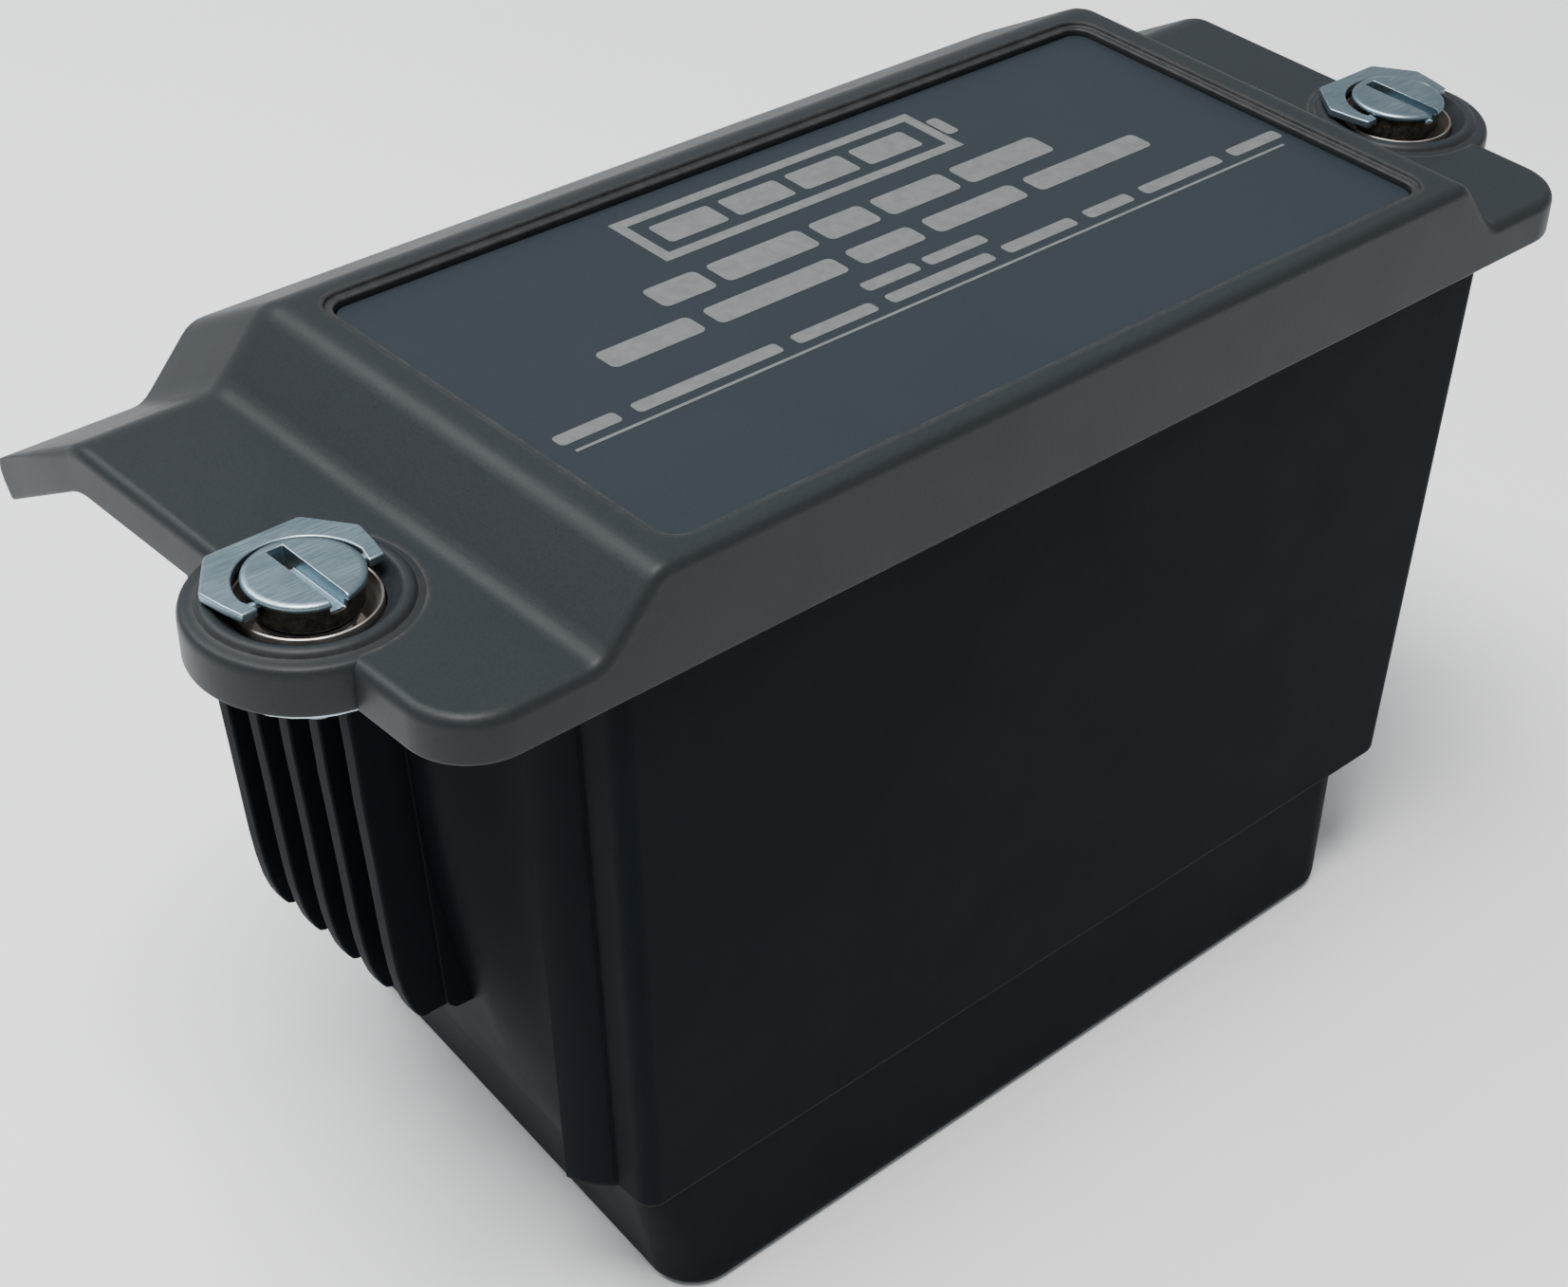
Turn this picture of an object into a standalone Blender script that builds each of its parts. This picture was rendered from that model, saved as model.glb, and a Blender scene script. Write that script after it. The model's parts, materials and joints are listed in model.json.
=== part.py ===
"""Removable rechargeable battery pack with two folding-wing quarter-turn fasteners.

Frame: metres, +Z up, origin at the centre of the bounding box's bottom face.
The long side runs along X and the front panel faces -Y.
"""
import math

import bmesh
import bpy
from mathutils import Matrix, Vector

MM = 0.001

# Lid
FLANGE_TOP = 107.2
FLANGE_DEPTH = 5.9
PLATEAU_RISE = 8.4
LID_HALF_LENGTH = 92.3
LID_FRONT = -43.1
LID_BEND = 24.9
LID_BACK = 43.1
SKIRT_CORNER = 43.7
SKIRT_SLOPE = 0.581
SKIRT_ROUND = 1.6
BEND_REACH = 2.0
LID_CORNER = 8.0
BACK_CORNER = 2.3
FRONT_EDGE_RADIUS = 1.6
RAMP = ((75.4, 0.0), (74.1, 0.25), (73.0, 1.0), (67.2, 7.5), (66.2, 8.2), (64.8, 8.4))
LOBE_RADIUS = 13.0
LOBE_DEPTH = 6.3

# Label recess
RECESS_HALF = 62.4
RECESS_FRONT = -40.0
RECESS_BACK = 22.4
RECESS_CORNER = 3.5
RECESS_STEP = 1.0
RECESS_DEPTH = 1.4
LABEL_THICKNESS = 0.6

# Tub
TUB_TOP = 100.9
STEP_Z = 22.1
LEDGE_Z = 99.2
WALL = 2.2
PILASTER_RADIUS = 4.4
PILASTER_STEP = 0.55
WALL_SWELL = 4.2
FLOOR = 2.5
FIN_FRONTS = (-13.9, -7.2, -0.5, 6.3, 13.0)
FIN_THICKNESS = 2.15

# Fasteners
FASTENER_X = 89.0
FASTENER_Y = -14.2
LIP_OUTER = 11.2
LIP_INNER = 9.3
LIP_RISE = 0.9
HEAD_RADIUS = 6.4
HEAD_TOP = FLANGE_TOP + 3.05
WING_TOP = FLANGE_TOP + 2.4
WING_THICKNESS = 1.1
PIN_REACH = 3.8
BAIL_AXIS_Y = FASTENER_Y - 0.6
BAIL_AXIS_Z = WING_TOP - WING_THICKNESS / 2
SPRING_TURNS = 2.5

# Cells
CELL_RADIUS = 9.1
CELL_LENGTH = 65.0
CELL_PITCH = 19.4
CELL_COLUMNS = 5
CELL_ROWS = 3
CELL_LOWEST = 33.2
CELL_CENTRE_Y = -2.1
CARRIER_THICKNESS = 7.0

# Screws and output port
SCREW_SPOTS = ((-43.0, -30.0), (43.0, -30.0), (-43.0, 25.0), (43.0, 25.0))
PORT_X = 55.0
PORT_FRONT = -21.0
PORT_BACK = 17.0

PI = math.pi


def clear_scene():
    """Remove whatever the scene holds."""
    for obj in list(bpy.data.objects):
        bpy.data.objects.remove(obj, do_unlink=True)


def collection(name, hidden=False):
    """Return a new collection linked to the scene."""
    col = bpy.data.collections.new(name)
    bpy.context.scene.collection.children.link(col)
    col.hide_render = hidden
    return col


def material(name, colour, roughness, metallic=0.0):
    """Return a Principled material with constant values."""
    mat = bpy.data.materials.new(name)
    mat.use_nodes = True
    shader = mat.node_tree.nodes["Principled BSDF"]
    shader.inputs["Base Color"].default_value = (*colour, 1.0)
    shader.inputs["Roughness"].default_value = roughness
    shader.inputs["Metallic"].default_value = metallic
    mat.diffuse_color = (*colour, 1.0)
    return mat


def place(name, mesh, mat=None, origin=(0.0, 0.0, 0.0)):
    """Link a mesh as a part, or as a hidden cutter when it has no material."""
    obj = bpy.data.objects.new(name, mesh)
    obj.location = Vector(origin) * MM
    if mat is None:
        CUTTERS.objects.link(obj)
        obj.hide_render = True
        obj.display_type = "WIRE"
    else:
        PARTS.objects.link(obj)
        mesh.materials.append(mat)
        mesh.shade_smooth()
        mesh.set_sharp_from_angle(angle=math.radians(35))
    return obj


def mesh_from(name, bm, origin=(0.0, 0.0, 0.0)):
    """Turn a bmesh drawn in millimetres into a mesh in metres around an origin."""
    shift = Vector(origin)
    for vert in bm.verts:
        vert.co = (vert.co - shift) * MM
    mesh = bpy.data.meshes.new(name)
    bm.to_mesh(mesh)
    bm.free()
    return mesh


def boolean(obj, tool, operation, solver="EXACT"):
    """Add one Boolean modifier."""
    mod = obj.modifiers.new(operation.title(), "BOOLEAN")
    mod.operation = operation
    mod.solver = solver
    mod.object = tool


def box(name, low, high, mat=None):
    """Return an axis-aligned box between two corners."""
    bm = bmesh.new()
    bmesh.ops.create_cube(bm, size=1.0)
    low, high = Vector(low), Vector(high)
    bmesh.ops.scale(bm, vec=high - low, verts=bm.verts)
    centre = (low + high) / 2
    return place(name, mesh_from(name, bm), mat, centre)


def add_rod(bm, start, end, radius, segments):
    """Add a straight capped cylinder between two points."""
    start, end = Vector(start), Vector(end)
    turn = (end - start).to_track_quat("Z", "Y").to_matrix().to_4x4()
    bmesh.ops.create_cone(
        bm,
        cap_ends=True,
        segments=segments,
        radius1=radius,
        radius2=radius,
        depth=(end - start).length,
        matrix=Matrix.Translation((start + end) / 2) @ turn,
    )


def rods(name, ends, radius, segments=12):
    """Return a cutter made of straight cylinders."""
    bm = bmesh.new()
    for start, end in ends:
        add_rod(bm, start, end, radius, segments)
    return place(name, mesh_from(name, bm))


def turned(name, profile, centre, mat=None, segments=40, base=0.0):
    """Turn an r-z profile, listed from the top down its outer side, around a vertical axis."""
    mesh = bpy.data.meshes.new(name)
    points = [(radius * MM, 0.0, (z - base) * MM) for radius, z in profile]
    edges = [(i, i + 1) for i in range(len(points) - 1)]
    if profile[0][0] > 0:
        edges.append((len(points) - 1, 0))
    mesh.from_pydata(points, edges, [])
    obj = place(name, mesh, mat, (centre[0], centre[1], base))
    screw = obj.modifiers.new("Turn", "SCREW")
    screw.axis = "Z"
    screw.angle = 2 * PI
    screw.steps = segments
    screw.render_steps = segments
    screw.use_merge_vertices = True
    screw.merge_threshold = 0.000005
    return obj


def from_curve(name, curve, mat, location, turn):
    """Turn a curve into a welded mesh object and drop the curve."""
    guide = bpy.data.objects.new(name, curve)
    guide.location = Vector(location) * MM
    guide.rotation_euler = turn
    CUTTERS.objects.link(guide)
    depsgraph = bpy.context.evaluated_depsgraph_get()
    mesh = bpy.data.meshes.new_from_object(guide.evaluated_get(depsgraph))
    matrix = guide.matrix_world.copy()
    bpy.data.objects.remove(guide, do_unlink=True)
    bm = bmesh.new()
    bm.from_mesh(mesh)
    bmesh.ops.remove_doubles(bm, verts=bm.verts, dist=0.000002)
    bm.to_mesh(mesh)
    bm.free()
    mesh.materials.clear()
    obj = place(name, mesh, mat)
    obj.matrix_world = matrix
    return obj


def flat_curve(name, outlines, thickness):
    """Return a filled flat curve, extruded to its thickness."""
    curve = bpy.data.curves.new(name, "CURVE")
    curve.dimensions = "2D"
    curve.fill_mode = "BOTH"
    curve.extrude = thickness * MM / 2
    for outline in outlines:
        spline = curve.splines.new("POLY")
        spline.points.add(len(outline) - 1)
        for point, (x, y) in zip(spline.points, outline):
            point.co = (x * MM, y * MM, 0.0, 1.0)
        spline.use_cyclic_u = True
    return curve


def prism(name, outlines, low, high, mat=None, origin=(0.0, 0.0)):
    """Extrude plan outlines between two heights."""
    shifted = [[(x - origin[0], y - origin[1]) for x, y in outline] for outline in outlines]
    curve = flat_curve(name, shifted, high - low)
    return from_curve(name, curve, mat, (origin[0], origin[1], (low + high) / 2), (0.0, 0.0, 0.0))


def side_prism(name, outline, front, back, mat=None):
    """Extrude an X-Z outline between two depths."""
    curve = flat_curve(name, [outline], back - front)
    return from_curve(name, curve, mat, (0.0, (front + back) / 2, 0.0), (PI / 2, 0.0, 0.0))


def wire(name, points, radius, mat, origin=(0.0, 0.0, 0.0)):
    """Return a round wire along a polyline."""
    curve = bpy.data.curves.new(name, "CURVE")
    curve.dimensions = "3D"
    curve.bevel_depth = radius * MM
    curve.bevel_resolution = 1
    curve.use_fill_caps = True
    spline = curve.splines.new("POLY")
    spline.points.add(len(points) - 1)
    for point, co in zip(spline.points, points):
        point.co = (*((Vector(co) - Vector(origin)) * MM), 1.0)
    return from_curve(name, curve, mat, origin, (0.0, 0.0, 0.0))


def loft(name, rings, mat=None):
    """Skin a stack of unlike sections with equal point counts and cap both ends."""
    bm = bmesh.new()
    rows = [[bm.verts.new(point) for point in ring] for ring in rings]
    count = len(rows[0])
    for low, high in zip(rows, rows[1:]):
        for i in range(count):
            j = (i + 1) % count
            bm.faces.new((low[i], low[j], high[j], high[i]))
    bm.faces.new(rows[0][::-1])
    bm.faces.new(rows[-1])
    bmesh.ops.recalc_face_normals(bm, faces=bm.faces)
    return place(name, mesh_from(name, bm), mat)


def arc(cx, cy, radius, start, end, steps):
    """Return points on an arc, angles in degrees."""
    points = []
    for i in range(steps + 1):
        angle = math.radians(start + (end - start) * i / steps)
        points.append((cx + radius * math.cos(angle), cy + radius * math.sin(angle)))
    return points


def rounded_rectangle(x0, y0, x1, y1, radius, steps=5):
    """Return a counter-clockwise rectangle with round corners."""
    return (
        arc(x0 + radius, y0 + radius, radius, 180, 270, steps)
        + arc(x1 - radius, y0 + radius, radius, 270, 360, steps)
        + arc(x1 - radius, y1 - radius, radius, 0, 90, steps)
        + arc(x0 + radius, y1 - radius, radius, 90, 180, steps)
    )


def mirror_x(points):
    """Mirror an outline in the Y axis and keep its direction."""
    return [(-x, y) for x, y in reversed(points)]


# Lid ------------------------------------------------------------------------


def skirt_fall(y):
    """Return how far the lid has dropped at this depth, past its soft bend."""
    past = y - LID_BEND
    if past <= -BEND_REACH:
        return 0.0
    if past < BEND_REACH:
        return SKIRT_SLOPE * (past + BEND_REACH) ** 2 / (4 * BEND_REACH)
    return SKIRT_SLOPE * past


def bend_depths():
    """Return the depths that follow the lid's soft bend."""
    return [LID_BEND + BEND_REACH * i / 2 for i in range(-2, 3)]


def skirt_end_rows():
    """Return depth, top drop and underside drop along the skirt's end, square to its slope."""
    angle = math.atan(SKIRT_SLOPE)
    sine, cosine = math.sin(angle), math.cos(angle)
    corner_drop = skirt_fall(SKIRT_CORNER)
    thickness = FLANGE_DEPTH * cosine
    foot_y = SKIRT_CORNER - thickness * sine
    foot_drop = corner_drop + thickness * cosine
    centre_y = SKIRT_CORNER - SKIRT_ROUND * (cosine + sine)
    centre_drop = corner_drop + SKIRT_ROUND * (cosine - sine)
    rows = [(foot_y, skirt_fall(foot_y), foot_drop - FLANGE_DEPTH)]
    start = centre_y + SKIRT_ROUND * sine
    for i in range(5):
        y = start + (LID_BACK - start) * (1 - (1 - i / 4) ** 2)
        half = math.sqrt(max(0.04, SKIRT_ROUND**2 - (y - centre_y) ** 2))
        face = foot_drop - (y - foot_y) * cosine / sine
        under = min(face, centre_drop + half) if y > centre_y + SKIRT_ROUND * cosine else face
        rows.append((y, centre_drop - half, under - FLANGE_DEPTH))
    return rows


def lid_stations():
    """Return depths with the drop of the top and the drop of the underside."""
    rows = []
    for i in range(5):
        angle = PI / 2 * i / 4
        y = LID_FRONT + FRONT_EDGE_RADIUS * (1 - math.cos(angle))
        rows.append((y, FRONT_EDGE_RADIUS * (1 - math.sin(angle)), 0.0))
    rows += [(y, skirt_fall(y), skirt_fall(y)) for y in bend_depths()]
    return rows + skirt_end_rows()


def lid_block():
    """Return the lid's profile swept from front to back, still square in plan."""
    reach = FASTENER_X + LOBE_RADIUS + 4
    half = [(-reach, 0.0)] + [(-x, z) for x, z in RAMP]
    top = half + [(-x, z) for x, z in reversed(half)]
    rings = []
    for y, top_drop, low_drop in lid_stations():
        under = FLANGE_TOP - FLANGE_DEPTH - low_drop
        ring = [(x, y, FLANGE_TOP + z - top_drop) for x, z in top]
        ring += [(x, y, under) for x in (reach, 0.0, -reach)]
        rings.append(ring)
    return loft("top_cover", rings, PLASTIC_TOP)


def lid_outline():
    """Return the lid's plan with its round corners, without the end lobes."""
    inset = LID_HALF_LENGTH - LID_CORNER
    right = arc(inset, LID_FRONT + LID_CORNER, LID_CORNER, 270, 360, 8)
    right += arc(LID_HALF_LENGTH - BACK_CORNER, LID_BACK + 1.0 - BACK_CORNER, BACK_CORNER, 0, 90, 4)
    return right + mirror_x(right)


def add_lobe(lid, centre):
    """Add one round-rimmed lobe with its raised lip and its stepped bore."""
    low = FLANGE_TOP - LOBE_DEPTH
    top = FLANGE_TOP - 0.04
    rim = LOBE_RADIUS
    pad = [(0.0, top), (rim - 1.1, top), (rim - 0.45, top - 0.2), (rim - 0.12, top - 0.6), (rim, top - 1.2)]
    pad += [(rim, low + 0.3), (rim - 0.3, low), (0.0, low)]
    boolean(lid, turned("add_lobe", pad, centre, segments=56), "UNION", "MANIFOLD")
    lip = [
        (10.2, FLANGE_TOP + LIP_RISE),
        (10.8, FLANGE_TOP + 0.7),
        (LIP_OUTER, FLANGE_TOP + 0.25),
        (LIP_OUTER + 1.1, FLANGE_TOP),
        (LIP_OUTER + 1.1, FLANGE_TOP - 2),
        (LIP_INNER - 0.3, FLANGE_TOP - 2),
        (LIP_INNER, FLANGE_TOP + 0.2),
        (9.7, FLANGE_TOP + 0.75),
    ]
    boolean(lid, turned("add_lip", lip, centre, segments=40), "UNION", "MANIFOLD")
    bore = [
        (0.0, FLANGE_TOP + 2),
        (LIP_INNER, FLANGE_TOP + 2),
        (LIP_INNER, FLANGE_TOP + 0.25),
        (8.05, FLANGE_TOP - 0.9),
        (8.05, FLANGE_TOP - 3.3),
        (7.0, FLANGE_TOP - 3.3),
        (7.0, low - 1),
        (0.0, low - 1),
    ]
    boolean(lid, turned("cut_bore", bore, centre, segments=40), "DIFFERENCE", "MANIFOLD")


def make_lid():
    """Build the cover with lobes, fastener bores, recess and hollow underside."""
    lid = lid_block()
    plan = prism("cut_lid_plan", [lid_outline()], FLANGE_TOP - 30, FLANGE_TOP + 30)
    boolean(lid, plan, "INTERSECT")
    for side in (-1, 1):
        add_lobe(lid, (side * FASTENER_X, FASTENER_Y))
    top = FLANGE_TOP + PLATEAU_RISE
    for inset, depth in ((0.0, 0.6), (RECESS_STEP, RECESS_DEPTH + LABEL_THICKNESS + 0.2)):
        half = RECESS_HALF - inset
        front = RECESS_FRONT + inset
        back = RECESS_BACK - inset
        outline = rounded_rectangle(-half, front, half, back, RECESS_CORNER - inset)
        boolean(lid, prism("cut_recess", [outline], top - depth, top + 5), "DIFFERENCE", "MANIFOLD")
    hollow = rounded_rectangle(-66.0, LID_FRONT + 3.2, 66.0, LID_BEND - 2, 4.0)
    boolean(lid, prism("cut_hollow", [hollow], FLANGE_TOP - 20, top - 4.6), "DIFFERENCE", "MANIFOLD")


def make_label():
    """Build the thin label panel lying in the recess."""
    top = FLANGE_TOP + PLATEAU_RISE - RECESS_DEPTH
    gap = RECESS_STEP + 0.3
    half = RECESS_HALF - gap
    outline = rounded_rectangle(-half, RECESS_FRONT + gap, half, RECESS_BACK - gap, 2.4)
    prism("label_panel", [outline], top - LABEL_THICKNESS, top, LABEL)


def rim_outline(half, front, back, radius):
    """Return a rounded rectangle with extra points where the lid bends."""
    corners = rounded_rectangle(-half, front, half, back, radius)
    right = [(half, y) for y in bend_depths()]
    left = [(-half, y) for y in reversed(bend_depths())]
    return corners[:12] + right + corners[12:] + left


def make_gasket():
    """Build the seal that lies on the tub's inner ledge and follows the lid's bend."""
    outer = rim_outline(69.3, -39.9, 34.9, 3.0)
    inner = rim_outline(67.6, -38.2, 33.2, 1.5)
    top = FLANGE_TOP - FLANGE_DEPTH - 0.2
    gasket = prism("lid_gasket", [outer, inner], LEDGE_Z + 0.3, top, RUBBER)
    base = gasket.matrix_world.translation.y / MM
    for vert in gasket.data.vertices:
        vert.co.z -= skirt_fall(vert.co.y / MM + base) * MM


# Tub ------------------------------------------------------------------------


def end_wall(share, panel, offset):
    """Return the left end of the tub's plan, from panel corner to back corner.

    share runs from 0 at the tub's top to 1 at the step.
    """
    front = -42.1 + 0.4 * share
    x_panel = panel + 3.3 * (1 - share)
    x_pillar = x_panel + 3.6 + offset
    x_wall = x_pillar + WALL_SWELL * (1 - share) ** 0.4
    x_back = 78.6 - 11.7 * share
    back = 37.6 - 0.8 * share
    points = arc(-x_panel + 2.4, front + 2.4, 2.4, 270, 180, 4)
    points += [(-x_panel, -35.6), (-x_panel + 1.1, -35.6), (-x_panel + 1.1, -34.8)]
    centre = (-x_pillar + PILASTER_RADIUS, -34.8 + PILASTER_RADIUS)
    points += arc(*centre, PILASTER_RADIUS, 262, 180, 5)
    points += [(-x_pillar + PILASTER_STEP, -29.9), (-(x_pillar * 0.4 + x_wall * 0.6), -23.5), (-x_wall, -17.5)]
    points += arc(-x_back + 5.0, back - 5.0, 5.0, 180, 90, 4)
    return points


def tub_outline(share):
    """Return the tub's whole plan."""
    left = end_wall(share, 68.6, 0.0)
    right = [(-x, y) for x, y in end_wall(share, 70.9, -0.6)]
    return left[::-1] + right


def base_outline(share, pull=0.0):
    """Return the plan of the narrower base, share 0 at the step and 1 at the bottom."""
    left = -68.3 + 6.3 * share
    left_back = -63.0 + 7.3 * share
    right = 65.1 - 0.3 * share
    right_back = 61.2 - 0.3 * share
    front = -41.3 + 0.3 * share
    back = 36.4 - 0.4 * share
    corner = 3.0 + 3.5 * share
    points = arc(left + corner, front + corner, corner - pull, 180, 270, 5)
    points += arc(right - 6.4, front + 6.4, 6.4 - pull, 270, 360, 5)
    points += arc(right_back - 5.0, back - 5.0, 5.0 - pull, 0, 90, 4)
    points += arc(left_back + 5.0, back - 5.0, 5.0 - pull, 90, 180, 4)
    return points


def fin_profile(clear_stud):
    """Return the X-Z outline of one left fin; the first is cut back above to clear the stud."""
    top = [(-80.4, 98.4), (-80.6, 95.0), (-85.4, 87.4)] if clear_stud else [(-86.0, 98.4), (-85.6, 90.2)]
    return top + [
        (-85.1, 83.6),
        (-84.7, 76.1),
        (-84.0, 68.2),
        (-83.4, 59.7),
        (-82.7, 50.4),
        (-81.7, 45.6),
        (-80.3, 42.0),
        (-79.8, 41.5),
        (-78.0, 41.6),
        (-76.0, 41.4),
        (-70.9, 42.5),
        (-77.3, 98.4),
    ]


def plate_profile():
    """Return the X-Z outline of the plate behind the left fins."""
    return [(-80.3, 98.7), (-79.1, 81.2), (-76.6, 42.6), (-75.2, 40.8), (-68.3, 39.8), (-75.8, 98.7)]


def add_fins(tub, side):
    """Add the cooling fins and their plate to one end."""
    plate = [(x * side, z) for x, z in plate_profile()[::side]]
    back = FIN_FRONTS[-1] + FIN_THICKNESS + 0.6
    boolean(tub, side_prism("add_fin_plate", plate, FIN_FRONTS[0] - 0.6, back), "UNION")
    for front in FIN_FRONTS:
        fins = [(x * side, z) for x, z in fin_profile(front == FIN_FRONTS[0])[::side]]
        boolean(tub, side_prism("add_fin", fins, front, front + FIN_THICKNESS), "UNION")


def cut_inside(tub):
    """Hollow the tub in two steps and open the output port."""
    rings = []
    for z, half, front, back in ((TUB_TOP + 4, 68.4, -39.5, 35.0), (STEP_Z + WALL, 62.6, -39.0, 34.2)):
        outline = rounded_rectangle(-half, front, half, back, 3.0)
        rings.append([(x, y, z) for x, y in outline])
    boolean(tub, loft("cut_upper", rings), "DIFFERENCE")
    rings = []
    for z, left, right in ((STEP_Z + 4, -59.0, 61.2), (FLOOR, -52.6, 60.8)):
        outline = rounded_rectangle(left, -38.3, right, 33.4, 3.0)
        rings.append([(x, y, z) for x, y in outline])
    boolean(tub, loft("cut_lower", rings), "DIFFERENCE")
    port = rounded_rectangle(PORT_X - 2.6, PORT_FRONT, PORT_X + 2.6, PORT_BACK, 1.0, 3)
    boolean(tub, prism("cut_port", [port], -2, FLOOR + 2), "DIFFERENCE")


def under_lid_block(name, half, front, back, low):
    """Return a block whose underside keeps a constant distance below the lid."""
    rings = []
    for y in [front] + bend_depths() + [back]:
        z = low - skirt_fall(y)
        rings.append([(x, y, h) for x, h in ((-half, z), (half, z), (half, 140.0), (-half, 140.0))])
    return loft(name, rings)


def make_tub():
    """Build the hollow case with its stepped base, cooling fins and screw seats."""
    rings = []
    for share in (0.0, 0.25, 0.5, 0.74, 0.88, 0.96, 1.0):
        z = TUB_TOP + (STEP_Z - TUB_TOP) * share
        rings.append([(x, y, z) for x, y in tub_outline(share)])
    tub = loft("case_tub", rings, PLASTIC_CASE)
    rings = []
    for share, z, pull in ((-0.05, STEP_Z + 1.1, 0.0), (0.93, 1.5, 0.0), (0.98, 0.35, 0.3), (1.0, 0.0, 1.0)):
        rings.append([(x, y, z) for x, y in base_outline(share, pull)])
    boolean(tub, loft("add_base", rings), "UNION")
    for side in (1, -1):
        add_fins(tub, side)
    cut_inside(tub)
    boolean(tub, under_lid_block("cut_rim", 110.0, -60.0, 60.0, TUB_TOP - 0.1), "DIFFERENCE", "MANIFOLD")
    boolean(tub, under_lid_block("cut_ledge", 69.6, -40.2, 35.2, LEDGE_Z), "DIFFERENCE", "MANIFOLD")
    for side in (-1, 1):
        disc = ((0.0, 110.0), (11.7, 110.0), (11.7, 99.5), (0.0, 99.5))
        tool = turned("cut_washer_seat", disc, (side * FASTENER_X, FASTENER_Y), segments=48)
        boolean(tub, tool, "DIFFERENCE", "MANIFOLD")
    boss = ((0.0, 9.0), (5.0, 9.0), (5.0, FLOOR - 1), (0.0, FLOOR - 1))
    seat = ((0.0, 10.0), (1.8, 10.0), (1.8, 3.0), (3.1, 3.0), (3.1, -1.0), (0.0, -1.0))
    for spot in SCREW_SPOTS:
        boolean(tub, turned("add_boss", boss, spot, segments=20), "UNION", "MANIFOLD")
        boolean(tub, turned("cut_seat", seat, spot, segments=20), "DIFFERENCE", "MANIFOLD")


def make_screws():
    """Build the four screws that hold the cell carriers down."""
    profile = [(0.0, 16.4), (0.9, 16.4), (1.5, 15.0), (1.5, 2.8), (2.8, 2.8)]
    profile += [(2.8, 1.2), (2.4, 0.8), (1.1, 0.8), (1.1, 1.6), (0.0, 1.6)]
    for i, spot in enumerate(SCREW_SPOTS):
        turned("carrier_screw_%d" % (i + 1), profile, spot, STEEL, 12)


# Fasteners ------------------------------------------------------------------


def make_ferrule(name, centre):
    """Build the flared metal cup pressed into the lid."""
    t = FLANGE_TOP
    profile = [(7.6, t), (7.8, t - 0.15), (7.8, t - 3.0), (6.75, t - 3.0), (6.75, t - 6.1), (4.0, t - 6.1)]
    profile += [(4.0, t - 4.9), (6.1, t - 4.9), (6.4, t - 3.0), (7.1, t - 1.2), (7.45, t - 0.2)]
    turned(name, profile, centre, CUP, 32)


def make_washer(name, centre):
    """Build the wide retaining washer under the lobe."""
    t = FLANGE_TOP - LOBE_DEPTH - 0.2
    profile = [(11.2, t), (11.2, t - 0.8), (3.4, t - 0.8), (3.4, t)]
    turned(name, profile, centre, METAL, 32)


def make_spring(name, centre):
    """Build the lift spring coiled around the stud."""
    low = FLANGE_TOP - 4.4
    steps = 26
    points = []
    for i in range(steps + 1):
        angle = 2 * PI * SPRING_TURNS * i / steps
        x = centre[0] + 4.6 * math.cos(angle)
        y = centre[1] + 4.6 * math.sin(angle)
        points.append((x, y, low + 2.3 * i / steps))
    wire(name, points, 0.33, STEEL, origin=(*centre, low - 0.4))


def make_collar(name, centre):
    """Build the thrust collar that carries the stud on its spring."""
    low = FLANGE_TOP - 1.65
    profile = [(5.5, low + 0.45), (5.5, low), (3.25, low), (3.25, low + 0.45)]
    turned(name, profile, centre, STEEL, 24, base=low)


def bail_axis(centre, near, far):
    """Return the two short lines along the wing's axis on either side of the stud."""
    x, y = centre[0], BAIL_AXIS_Y
    left = ((x - far, y, BAIL_AXIS_Z), (x - near, y, BAIL_AXIS_Z))
    right = ((x + near, y, BAIL_AXIS_Z), (x + far, y, BAIL_AXIS_Z))
    return left, right


def make_stud(name, centre):
    """Build the slotted quarter-turn stud with its cross pin."""
    cx, cy = centre
    t = FLANGE_TOP
    profile = [(0.0, HEAD_TOP), (5.9, HEAD_TOP), (6.25, HEAD_TOP - 0.12), (HEAD_RADIUS, HEAD_TOP - 0.4)]
    profile += [(HEAD_RADIUS, HEAD_TOP - 0.85), (5.8, HEAD_TOP - 0.95), (5.8, t - 0.6), (5.4, t - 1.0)]
    profile += [(3.0, t - 1.0), (3.0, t - 13.6), (2.4, t - 14.2), (0.0, t - 14.2)]
    stud = turned(name, profile, centre, METAL, 32, base=t)
    ends = ((cx - PIN_REACH, cy, t - 12.4), (cx + PIN_REACH, cy, t - 12.4))
    pin = rods("add_pin", [ends], 1.0)
    boolean(stud, pin, "UNION")
    slot = box("cut_slot", (cx - 0.98, cy - 9, HEAD_TOP - 2.0), (cx + 0.98, cy + 3.9, HEAD_TOP + 2))
    boolean(stud, slot, "DIFFERENCE")
    pocket = box("cut_pocket", (cx - 0.85, cy + 3.5, t - 0.5), (cx + 0.85, cy + 5.4, HEAD_TOP + 2.1))
    boolean(stud, pocket, "DIFFERENCE")
    boolean(stud, rods("cut_pin_holes", bail_axis(centre, 4.4, 9.0), 0.62), "DIFFERENCE")


def wing_outline(cx, cy):
    """Return the plan of the folding wing, a horseshoe around the stud's head."""
    outer = [(8.7, -1.8), (9.1, 0.4), (9.8, 4.2), (8.2, 6.7), (5.5, 9.5), (2.4, 10.2), (0.9, 10.2), (0.9, 9.2)]
    outer += [(-x, y) for x, y in reversed(outer)]
    inner = [(-6.6, -1.8), (-6.9, -0.6)] + arc(0.0, 0.0, 7.2, 177, 3, 18) + [(6.9, -0.6), (6.6, -1.8)]
    return [(cx + x, cy + y) for x, y in outer + inner]


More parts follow.
